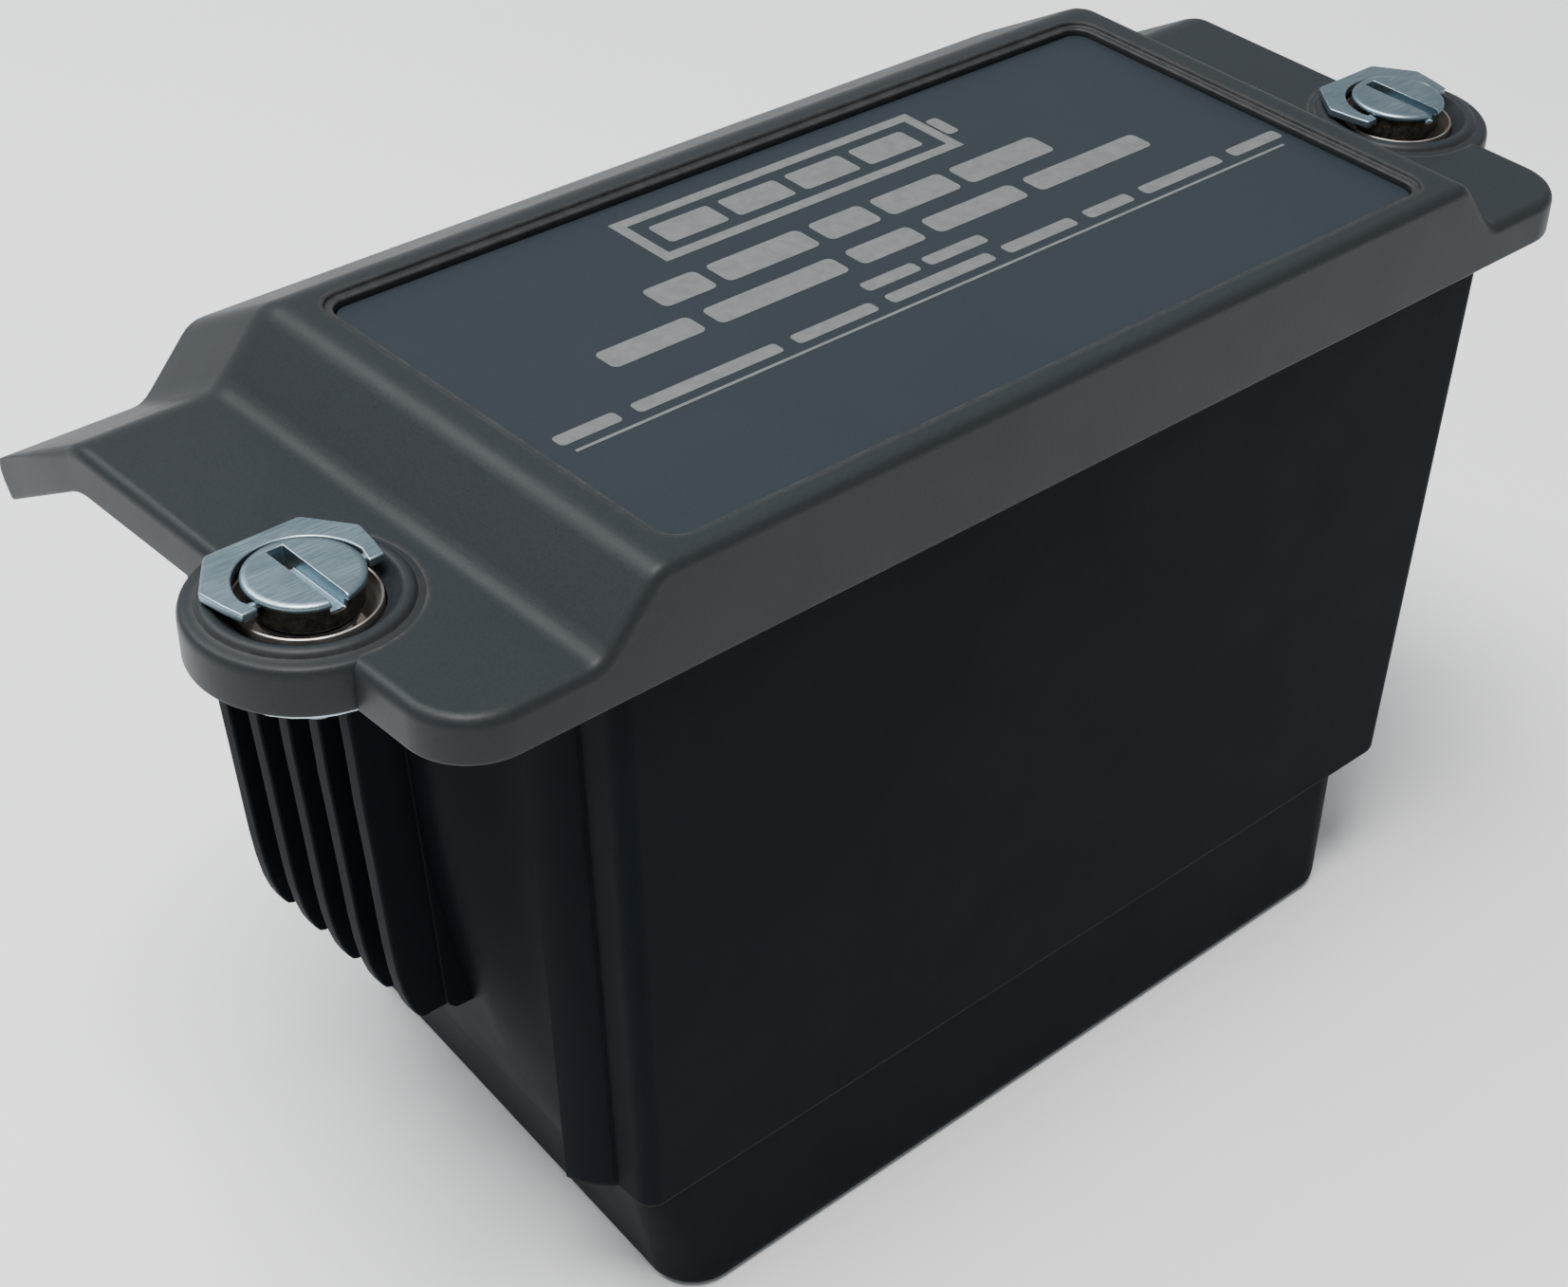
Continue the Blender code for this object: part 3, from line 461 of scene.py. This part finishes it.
def make_cover(mat, wall_mat):
    """Sweep the cover's profile, trim it to its plan and round its rims."""
    angle = math.atan(SLOPE)
    thick = DEPTH * math.cos(angle)
    foot = SKIRT_CORNER - thick * math.sin(angle)
    rows = [(LID_FRONT, 0.0, 0.0)]
    for i in range(-6, 7):
        y = BEND + BEND_REACH * i / 6
        rows.append((y, fall(y), fall(y)))
    sine, cosine = math.sin(angle), math.cos(angle)
    corner = fall(SKIRT_CORNER)
    foot_drop = corner + thick * cosine
    rows.append((foot, fall(foot), foot_drop - DEPTH))
    centre_y = SKIRT_CORNER - SKIRT_ROUND * (cosine + sine)
    centre_drop = corner + SKIRT_ROUND * (cosine - sine)
    start = centre_y + SKIRT_ROUND * sine
    for i in range(8):
        y = start + (LID_BACK - start) * (1 - (1 - i / 7) ** 2)
        half = math.sqrt(max(0.01, SKIRT_ROUND**2 - (y - centre_y) ** 2))
        face = foot_drop - (y - foot) * cosine / sine
        under = min(face, centre_drop + half) if y > centre_y + SKIRT_ROUND * cosine else face
        rows.append((y, centre_drop - half, under - DEPTH))
    reach = 110.0
    half = [(-reach, 0.0)] + [(-x, z) for x, z in RAMP]
    top = half + [(-x, z) for x, z in reversed(half)]
    rings = []
    for y, high, low in rows:
        ring = [(x, y, TOP + z - high) for x, z in top]
        ring += [(x, y, TOP - DEPTH - low) for x in (reach, 0.0, -reach)]
        rings.append(ring)
    cover = loft("cover_shell", rings, mat)
    plan = arc(LID_HALF - FRONT_CORNER, LID_FRONT + FRONT_CORNER, FRONT_CORNER, 270, 360, 14)
    plan += arc(LID_HALF - BACK_CORNER, SKIRT_CORNER + 1.0 - BACK_CORNER, BACK_CORNER, 0, 90, 6)
    plan += mirror_x(plan)
    cut(cover, slab("plan", plan, TOP - 40, TOP + 40), "INTERSECT")

    def weigh(edge):
        low, high = sorted(face.normal.z for face in edge.link_faces)
        if min(vert.co.y for vert in edge.verts) > 40.9 * MM:
            return 0.0
        if high > 0.45 and low < 0.3:
            return 1.0
        if low < -0.8 and high > -0.62:
            return 0.28
        return 0.0

    soften(cover, RIM_ROUND, 4, 30, weigh)
    for x in (-FASTENER_X, FASTENER_X):
        cut(cover, rod("hole", (x, FASTENER_Y, TOP - 30), (x, FASTENER_Y, TOP + 9), BORE_RADIUS, 96))
    crown = TOP + RISE
    levels = ((2.3, 1.0), (0.75, 1.0), (0.6, 0.85), (0.6, 0.12), (0.5, 0.0), (0.3, 0.0))
    levels += ((0.12, -0.07), (0.03, -0.2), (-0.02, -0.4), (-3.0, -0.4))
    rings = []
    for depth, step in levels:
        outline = rounded(
            -RECESS_HALF + step, RECESS_FRONT + step, RECESS_HALF - step, RECESS_BACK - step, 3.6 - step
        )
        rings.append([(x, y, crown - depth) for x, y in outline])
    recess = loft("recess", rings, wall_mat)
    cut(cover, recess)
    hollow = rounded(-66.0, LID_FRONT + 3.2, 66.0, BEND - 2, 4.0)
    cut(cover, slab("hollow", hollow, TOP - 30, crown - 4.6))
    return finish_surface(cover, "pack", ["top_cover"], 30)


def make_lobe(label, side, mat):
    """Turn one round-rimmed lobe with its raised lip and stepped bore."""
    low = TOP - DEPTH - 0.03
    r = LOBE_RADIUS
    profile = [(r, low + 0.45), (r - 0.1, low + 0.15), (r - 0.35, low), (7.0, low)]
    profile += [(7.0, TOP - 3.3), (8.05, TOP - 3.3), (8.05, TOP - 0.9), (8.6, TOP - 0.35)]
    for angle in (2.85, 2.5, 2.1, 1.7, 1.3, 0.9, 0.5, 0.2):
        profile.append((10.25 + 0.97 * math.cos(angle), TOP - 0.05 + 0.95 * math.sin(angle)))
    profile += [(11.45, TOP + 0.06), (11.9, TOP), (12.3, TOP - 0.06)]
    profile += [(r - 0.4, TOP - 0.2), (r - 0.16, TOP - 0.5), (r - 0.04, TOP - 0.9), (r, TOP - 1.4)]
    lobe = turned(label + "_lobe", profile, (side * FASTENER_X, FASTENER_Y), mat, 112)
    return finish_surface(lobe, "pack", (), 40)


def print_marks():
    """Return the print's bars as x0, y0, x1, y1 and radius, y from the lid's front."""
    marks = [(-57.8, 23.9, 58.2, 24.35, 0.1)]
    # The battery's outline, its end cap and its four cells
    marks += [(-24.0, 59.0, 25.0, 60.6, 0.1), (-24.0, 49.6, 25.0, 51.2, 0.1)]
    marks += [(-24.0, 51.2, -22.4, 59.0, 0.05), (23.4, 51.2, 25.0, 59.0, 0.05)]
    marks += [(25.4, 52.8, 27.4, 57.4, 0.6)]
    marks += [(-20.6 + i * 10.8, 52.8, -11.4 + i * 10.8, 57.4, 0.6) for i in range(4)]
    # Rows of plain bars: low edge, height, left end, widths and space
    rows = (
        (41.4, 4.7, -31.0, (8.0, 14.5, 8.5, 12.0, 15.0), 1.6),
        (34.6, 3.9, -44.0, (13.5, 20.0, 10.5, 15.5, 20.5), 2.1),
        (29.5, 2.1, -10.2, (8.6, 9.8), 1.4),
        (25.7, 2.1, -58.4, (8.5, 21.0, 12.5, 17.0, 12.0, 8.0, 14.5, 9.5), 2.2),
    )
    for low, height, left, widths, space in rows:
        x = left
        for width in widths:
            marks.append((x, low, x + width, low + height, min(0.9, height * 0.3)))
            x += width + space
    return marks


def make_label(mat, ink):
    """Lay the thin film panel in its recess, with plain generic print on it."""
    gap = 1.25
    half = RECESS_HALF - gap
    outline = rounded(-half, RECESS_FRONT + gap, half, RECESS_BACK - gap, 2.4)
    label = slab("label_film_panel", outline, LABEL_TOP - 0.6, LABEL_TOP, mat)
    soften(label, 0.12, 2)
    finish_surface(label, "pack", ["label_panel"])
    bm = bmesh.new()
    for x0, y0, x1, y1, radius in print_marks():
        outline = rounded(x0, y0 + LID_FRONT, x1, y1 + LID_FRONT, radius, 4)
        verts = [bm.verts.new((x * MM, y * MM, (LABEL_TOP + 0.035) * MM)) for x, y in outline]
        face = bm.faces.new(verts)
        skirt = bmesh.ops.extrude_face_region(bm, geom=[face])
        moved = [v for v in skirt["geom"] if isinstance(v, bmesh.types.BMVert)]
        bmesh.ops.translate(bm, vec=(0, 0, -0.05 * MM), verts=moved)
    bmesh.ops.recalc_face_normals(bm, faces=bm.faces)
    mesh = bpy.data.meshes.new("label_print")
    bm.to_mesh(mesh)
    bm.free()
    finish_surface(link("label_print", mesh, ink), "pack")


# Case -----------------------------------------------------------------------


def end_wall(share, panel, offset):
    """Return the left end of the case's plan, from panel corner to back corner."""
    front = -42.1 + 0.4 * share
    x_panel = panel + PANEL_LEAN * (1 - share)
    x_pillar = x_panel + PILASTER_WIDTH + offset
    x_near = x_pillar - 0.5 - 3.0 * share**8
    x_wall = panel + 11.1 + offset - WALL_TUCK * share**2.2
    x_back = 78.6 - 15.3 * share**1.3
    back = 37.6 - 0.8 * share
    points = arc(-x_panel + 2.4, front + 2.4, 2.4, 270, 180, 10)
    points += [(-x_panel, -36.3), (-x_panel + 0.02, -35.9), (-x_panel + 0.1, -35.6)]
    points += [(-x_panel - 0.15, -35.5), (-x_panel - 0.4, -35.46)]
    for i in range(1, 12):
        t = i / 12
        swell = 1.8 * t * (1 - t)
        x = x_panel + 0.4 + (x_pillar - x_panel - 0.4) * t + 0.8 * swell
        points.append((-x, -35.4 + 5.0 * t - 0.6 * swell))
    points += [(-x_pillar, -30.4), (-x_pillar + 0.12, -30.2), (-x_near, -30.05)]
    for i in range(1, 9):
        t = i / 8
        ease = t * t * (3 - 2 * t)
        points.append((-x_near - (x_wall - x_near) * ease, -30.05 + 12.6 * t))
    points += arc(-x_back + 5.0, back - 5.0, 5.0, 180, 90, 10)
    return points


def case_plan(share):
    """Return the case's whole plan."""
    left = end_wall(share, PANEL_LEFT, 0.0)
    right = [(-x, y) for x, y in end_wall(share, PANEL_RIGHT, -0.6)]
    return left[::-1] + right


def make_case(mat, dark):
    """Skin the case as an open cup and round its lower rim."""
    rings = []
    shares = [0.0, 0.1, 0.2, 0.3, 0.4, 0.5, 0.6, 0.68, 0.76, 0.83, 0.89, 0.93, 0.96, 0.985, 1.0]
    for share in reversed(shares):
        ring = []
        for x, y in case_plan(share):
            top = TUB_TOP - 0.1 - fall(y)
            ring.append((x, y, top + (STEP_Z - top) * share))
        rings.append(ring)
    for share, lift in ((0.0, 0.0), (1.0, 3.0)):
        ring = []
        for x, y in case_plan(share):
            top = TUB_TOP - 0.1 - fall(y)
            ring.append((x * 0.93, y * 0.94, top + (STEP_Z - top) * share + lift))
        rings.append(ring)
    case = loft("case_shell", rings, mat)

    def weigh(edge):
        low, high = sorted(face.normal.z for face in edge.link_faces)
        return 1.0 if low < -0.8 and high > -0.4 and edge.verts[0].co.z < (STEP_Z + 0.5) * MM else 0.0

    soften(case, 0.22, 2, 50, weigh)
    finish_surface(case, "pack", ["case_tub"], 38)
    # A thin near-black band just inside the step, across the front only: painted shade under the panel's
    # overhang
    plan = [(x * 0.9985, y * 0.9965) for x, y in case_plan(1.0)]
    shade_band = slab("painted_shade_line", plan, STEP_Z - 0.3, STEP_Z + 0.6, dark)
    cut(shade_band, block("behind", (-90, -29.9, 0), (90, 60, 40)))
    finish_surface(shade_band, "pack")


def base_plan(share, pull=0.0):
    """Return the plan of the narrower base."""
    left = -68.3 + 6.3 * share
    left_back = -63.0 + 7.3 * share
    right = 65.1 - 0.3 * share
    right_back = 61.2 - 0.3 * share
    front = -40.9 - 0.1 * share
    back = 36.4 - 0.4 * share
    corner = 3.0 + 3.5 * share
    points = arc(left + corner, front + corner, corner - pull, 180, 270, 10)
    points += arc(right - 6.4, front + 6.4, 6.4 - pull, 270, 360, 12)
    points += arc(right_back - 5.0, back - 5.0, 5.0 - pull, 0, 90, 10)
    points += arc(left_back + 5.0, back - 5.0, 5.0 - pull, 90, 180, 10)
    return points


def make_base(mat):
    """Skin the base with its rolled lower edge, screw seats and contact opening."""
    rings = []
    levels = [(-0.05, STEP_Z + 1.1, 0.0), (0.3, 15.5, 0.0), (0.62, 8.4, 0.0), (0.92, 1.8, 0.0)]
    levels += [(0.955, 1.0, 0.1), (0.975, 0.5, 0.33), (0.99, 0.18, 0.68), (1.0, 0.0, 1.25)]
    for share, z, pull in levels:
        rings.append([(x, y, z) for x, y in base_plan(share, pull)])
    base = loft("case_base", rings, mat)
    for x, y in SCREW_SPOTS:
        cut(base, rod("seat", (x, y, -2), (x, y, 3.0), 3.1, 40))
    cut(base, slab("port", rounded(*PORT, 1.0, 5), -2, 12))
    return finish_surface(base, "pack", (), 40)


def make_fins(label, side, mat):
    """Build one end's fin plate and its five fins, each softly rounded."""
    plate = [(-80.3, FIN_TOP), (-79.1, 81.2), (-76.6, 42.9), (-76.2, 41.7)]
    plate += [(-75.2, 40.8), (-65.0, 40.1), (-70.0, FIN_TOP)]
    back = FIN_FRONTS[-1] + FIN_THICKNESS + 0.6
    outline = [(x * side, z) for x, z in plate]
    obj = side_slab(label + "_fin_plate", outline, FIN_FRONTS[0] - 0.6, back, mat)
    soften(obj, 0.22, 2)
    finish_surface(obj, "pack")
    for i, front in enumerate(FIN_FRONTS):
        # The first fin is cut back at its top to clear the stud
        if i == 0:
            fin = [(-81.0, FIN_TOP), (-82.0, 95.2), (-84.9, 91.2), (-85.5, 89.0)]
        else:
            fin = [(-86.0, FIN_TOP), (-85.6, 90.2)]
        fin += [(-85.1, 83.6), (-84.7, 76.1), (-84.05, 68.2), (-83.4, 59.7), (-82.95, 54.0)]
        fin += [(-82.5, 50.0), (-81.9, 46.6), (-81.2, 44.2), (-80.5, 42.6), (-79.9, 41.7)]
        fin += [(-79.2, 41.4), (-78.0, 41.5), (-76.0, 41.4), (-72.0, 42.4), (-76.0, FIN_TOP)]
        outline = [(x * side, z) for x, z in fin]
        obj = side_slab("%s_fin_%d" % (label, i + 1), outline, front, front + FIN_THICKNESS, mat)
        soften(obj, 0.32, 3, 40)
        finish_surface(obj, "pack", (), 40)


# Fasteners ------------------------------------------------------------------


def make_ferrule(label, side, mat):
    """Turn the flared metal cup with its rolled rim."""
    t = TOP
    profile = [(7.42, t - 0.25), (7.48, t - 0.08), (7.62, t), (7.76, t - 0.07), (7.82, t - 0.25)]
    profile += [(7.82, t - 3.0), (6.75, t - 3.0), (6.75, t - 5.8), (4.0, t - 5.8), (4.0, t - 4.9)]
    profile += [(5.95, t - 4.9), (6.15, t - 4.75), (6.3, t - 4.3), (6.45, t - 3.2), (6.75, t - 2.2)]
    profile += [(7.1, t - 1.2), (7.3, t - 0.6)]
    obj = turned(label + "_cup", profile, (side * FASTENER_X, FASTENER_Y), mat, 96)
    finish_surface(obj, "pack", [label + "_ferrule"], 40)


def settle(obj):
    """Write an object's place into its mesh, so that cutters line up with it."""
    bpy.context.view_layer.update()
    obj.data.transform(obj.matrix_world)
    obj.location = (0, 0, 0)


def cut_pivot_holes(obj, cx):
    """Drill the wing's two pivot holes across the stud's head."""
    y, z = WING_AXIS_Y, WING_AXIS_Z
    for a, b in ((-9.0, -4.4), (4.4, 9.0)):
        cut(obj, rod("hole", (cx + a, y, z), (cx + b, y, z), PIVOT_HOLE, 24))


def make_stud(label, side, mat):
    """Turn the slotted stud, then cut its screwdriver slot and pivot holes."""
    cx, cy = side * FASTENER_X, FASTENER_Y
    t = TOP
    h = t + HEAD_RISE
    r = HEAD_RADIUS
    profile = [(0.0, h), (r - 0.8, h), (r - 0.45, h - 0.04), (r - 0.2, h - 0.13), (r - 0.06, h - 0.27)]
    profile += [(r, h - 0.45), (r, h - 0.7), (r - 0.1, h - 0.84), (r - 0.35, h - 0.93)]
    profile += [(NECK_RADIUS, h - 0.95), (NECK_RADIUS, t - 0.6), (5.4, t - 1.0), (SHAFT_RADIUS, t - 1.0)]
    profile += [(SHAFT_RADIUS, t - 13.6), (2.4, t - 14.2), (0.0, t - 14.2)]
    stud = turned(label + "_quarter_turn_stud", profile, (cx, cy), mat, 96)
    settle(stud)
    z = t - CROSS_PIN_DEPTH
    pin = rod("pin", (cx - CROSS_PIN_REACH, cy, z), (cx + CROSS_PIN_REACH, cy, z), 1.0, 32)
    cut(stud, pin, "UNION")
    left, right = cx - SLOT_HALF, cx + SLOT_HALF
    cut(stud, block("pocket", (left, cy + 3.4, t - 0.4), (right, cy + 5.2, h + 2)))
    cut(stud, block("slot", (left, cy - 9, h - 1.9), (right, cy + 3.9, h + 2)))
    cut_pivot_holes(stud, cx)
    soften(stud, 0.13, 2, 55)
    finish_surface(stud, label + "_turnstud", [label + "_stud"], 40)


def make_pocket_shade_and_sleeve(label, side, mat):
    """Fill the head's pocket with a dark floor, painted shade in the deep pocket, and line the stud's neck
    with its dark finish.
    """
    cx, cy = side * FASTENER_X, FASTENER_Y
    t = TOP
    h = t + HEAD_RISE
    # The pocket floor is painted shade: a dark insert where the slot's deep pocket lies in shadow
    outline = rounded(cx - 0.93, cy + 3.45, cx + 0.93, cy + 5.15, 0.2, 3)
    floor = slab(label + "_pocket_painted_shade", outline, t - 0.45, t + 0.6, mat)
    finish_surface(floor, label + "_turnstud", (), 40)
    profile = [(5.84, h - 1.0), (5.9, h - 1.1), (5.93, t - 0.4)]
    profile += [(5.6, t - 0.85), (5.5, t - 0.85), (5.5, h - 1.0)]
    sleeve = turned(label + "_stud_sleeve", profile, (cx, cy), mat, 96)
    settle(sleeve)
    cut_pivot_holes(sleeve, cx)
    cut(sleeve, block("gap", (cx - SLOT_HALF, cy - 9, h - 1.9), (cx + SLOT_HALF, cy, h + 2)))
    finish_surface(sleeve, label + "_turnstud", (), 40)


def make_wing(label, side, mat):
    """Shape the folding wing around the head and add its pivot pins."""
    cx, cy = side * FASTENER_X, FASTENER_Y
    outer = [(8.6, -1.8), (9.2, 0.8), (9.7, 3.9), (9.55, 4.4), (6.0, 9.1), (5.5, 9.4)]
    outer += [(-x, y) for x, y in reversed(outer)]
    inner = [(-6.6, -1.8), (-6.9, -0.6)] + arc(0.0, 0.0, 7.2, 177, 3, 40)
    inner += [(6.9, -0.6), (6.6, -1.8)]
    outline = [(cx + x, cy + y) for x, y in outer + inner]
    wing = slab(label + "_bail_wing", outline, TOP + WING_LOW, TOP + WING_HIGH, mat)
    soften(wing, 0.24, 3, 28)
    y, z = WING_AXIS_Y, WING_AXIS_Z
    for a, b in ((-7.2, -4.7), (4.7, 7.2)):
        cut(wing, rod("pin", (cx + a, y, z), (cx + b, y, z), PIVOT_RADIUS, 24), "UNION")
    finish_surface(wing, label + "_wing", [label + "_folding_wing"], 40)


# Scene ----------------------------------------------------------------------


def paint_nodes(looks):
    """Give every CAD node the material of its slot."""
    for part in frame["record"]["subparts"]:
        node = frame["nodes"][part["node"]]
        node.data.materials.clear()
        node.data.materials.append(looks[part["material_slot"]])


def camera():
    """Place the camera where the photograph was taken from, with its slight roll."""
    data = bpy.data.cameras.new("camera")
    data.sensor_width = 36.0
    data.lens = 65.28
    data.shift_x = -0.1622
    data.shift_y = 0.0975
    data.clip_start = 0.01
    obj = bpy.data.objects.new("camera", data)
    azimuth, elevation, roll = (math.radians(angle) for angle in VIEW_ANGLES)
    forward = Vector(
        (
            math.cos(elevation) * math.sin(azimuth),
            math.cos(elevation) * math.cos(azimuth),
            -math.sin(elevation),
        )
    )
    right0 = Vector((math.cos(azimuth), -math.sin(azimuth), 0.0))
    up0 = right0.cross(forward)
    right = math.cos(roll) * right0 + math.sin(roll) * up0
    up = -math.sin(roll) * right0 + math.cos(roll) * up0
    turn = Matrix((right, up, -forward)).transposed().to_4x4()
    obj.matrix_world = Matrix.Translation(VIEW_POINT) @ turn
    bpy.context.scene.collection.objects.link(obj)
    bpy.context.scene.camera = obj


def area_light(name, location, target, size, power, colour):
    """Add one square soft light aimed at a target."""
    data = bpy.data.lights.new(name, "AREA")
    data.energy = power
    data.size = size
    data.color = colour
    obj = bpy.data.objects.new(name, data)
    obj.location = location
    obj.rotation_euler = (Vector(target) - Vector(location)).to_track_quat("-Z", "Y").to_euler()
    bpy.context.scene.collection.objects.link(obj)


def stage():
    """Lay the pale floor, the world and the soft lights."""
    bm = bmesh.new()
    bmesh.ops.create_grid(bm, x_segments=2, y_segments=2, size=4.0)
    mesh = bpy.data.meshes.new("floor")
    bm.to_mesh(mesh)
    bm.free()
    s = Shader("floor_paper", 0.9)
    tone = s.span(s.noise(6.0, 3.0), 0.3, 0.7, 0.0, 1.0)
    s.base(s.mix(tone, (0.86, 0.87, 0.88), (0.9, 0.9, 0.9)))
    floor = link("floor", mesh, s.mat)
    floor.location = (0, 0, -0.0002)
    world = bpy.data.worlds.new("world")
    bpy.context.scene.world = world
    world.use_nodes = True
    background = world.node_tree.nodes["Background"]
    background.inputs["Color"].default_value = (0.93, 0.97, 1.0, 1)
    background.inputs["Strength"].default_value = 0.45
    area_light("key", (-0.3, 0.6, 0.95), (-0.05, 0, 0.08), 0.7, 10, (0.97, 1.0, 1.0))
    area_light("top", (-0.25, -0.1, 1.1), (0, 0, 0), 0.5, 19, (1.0, 0.98, 0.97))


# Looks: dark tone, light tone and, for plastic, the painted rim-highlight tone, then the roughness
COVER = plastic(
    "cover_look",
    (0.0125, 0.0155, 0.0180),
    (0.0140, 0.0175, 0.0205),
    (0.068, 0.064, 0.062),
    roughness=0.45,
    grain=0.035,
    edge_share=0.6,
    gloss=0.18,
    reach=1.1,
)
RECESS = plastic(
    "recess_look",
    (0.006, 0.005, 0.005),
    (0.012, 0.010, 0.009),
    (0.09, 0.07, 0.055),
    roughness=0.34,
    grain=0.02,
)
CASE = plastic(
    "case_look",
    (0.0036, 0.0056, 0.0080),
    (0.0044, 0.0066, 0.0092),
    (0.020, 0.026, 0.032),
    roughness=0.52,
    grain=0.03,
    edge_share=0.35,
    gloss=0.025,
)
FILM = plastic(
    "film_look",
    (0.0100, 0.0150, 0.0190),
    (0.0112, 0.0166, 0.0210),
    (0.05, 0.05, 0.05),
    roughness=0.42,
    grain=0.008,
    edge_share=0.3,
    gloss=0.3,
)
INK = moulded("ink_look", (0.095, 0.102, 0.104), (0.118, 0.125, 0.128), 0.5, 500.0, 0.01)
STEEL = brushed("steel_look", (0.22, 0.30, 0.35), (0.34, 0.44, 0.50), 0.36, (1, 26, 26), (0.60, 0.68, 0.72))
CUP = ringed("cup_look", (0.44, 0.40, 0.36), (0.78, 0.72, 0.66), 0.42)
SHADE = moulded("shade_look", (0.0008, 0.0010, 0.0014), (0.0016, 0.0020, 0.0026), 0.8, 400.0, 0.02)
OXIDE = moulded("oxide_look", (0.010, 0.009, 0.007), (0.075, 0.066, 0.052), 0.55, 900.0, 0.15, 0.6)
WIRE = ringed("spring_look", (0.38, 0.39, 0.41), (0.58, 0.59, 0.62), 0.34, 1500.0)
LOOKS = {
    "cover_plastic": COVER,
    "case_plastic": CASE,
    "label_film": FILM,
    "seal_rubber": moulded("rubber_look", (0.008, 0.008, 0.009), (0.016, 0.016, 0.017), 0.8, 500.0, 0.05),
    "fastener_steel": STEEL,
    "ferrule_metal": CUP,
    "spring_steel": WIRE,
    "cell_wrap": moulded("wrap_look", (0.05, 0.17, 0.36), (0.08, 0.24, 0.46), 0.35, 120.0, 0.01),
    "carrier_plastic": moulded("carrier_look", (0.05, 0.05, 0.055), (0.09, 0.09, 0.095), 0.6, 300.0, 0.03),
    "nickel_strip": brushed("nickel_look", (0.50, 0.47, 0.42), (0.66, 0.63, 0.58), 0.32, (26, 26, 1)),
    "barrier_sheet": moulded("paper_look", (0.42, 0.37, 0.26), (0.54, 0.49, 0.37), 0.9, 700.0, 0.06),
    "foam_pad": moulded("foam_look", (0.012, 0.012, 0.013), (0.035, 0.035, 0.037), 0.95, 900.0, 0.25),
    "circuit_board": moulded("board_look", (0.010, 0.10, 0.045), (0.018, 0.15, 0.07), 0.42, 350.0, 0.02),
    "component_body": moulded("chip_look", (0.010, 0.010, 0.011), (0.024, 0.024, 0.026), 0.45, 900.0, 0.03),
    "fuse_body": moulded("fuse_look", (0.46, 0.19, 0.02), (0.60, 0.29, 0.05), 0.35, 250.0, 0.01),
    "connector_plastic": moulded(
        "connector_look", (0.012, 0.012, 0.013), (0.026, 0.026, 0.028), 0.5, 400.0, 0.03
    ),
    "red_wire": moulded("red_wire_look", (0.38, 0.015, 0.010), (0.52, 0.035, 0.022), 0.45, 500.0, 0.02),
    "black_wire": moulded(
        "black_wire_look", (0.012, 0.012, 0.012), (0.028, 0.028, 0.029), 0.45, 500.0, 0.02
    ),
}

camera()
stage()
paint_nodes(LOOKS)
make_cover(COVER, RECESS)
make_label(FILM, INK)
make_case(CASE, SHADE)
make_base(CASE)
for LABEL, SIDE in (("left", -1), ("right", 1)):
    make_lobe(LABEL, SIDE, COVER)
    make_fins(LABEL, SIDE, CASE)
    make_ferrule(LABEL, SIDE, CUP)
    make_stud(LABEL, SIDE, STEEL)
    make_pocket_shade_and_sleeve(LABEL, SIDE, OXIDE)
    make_wing(LABEL, SIDE, STEEL)
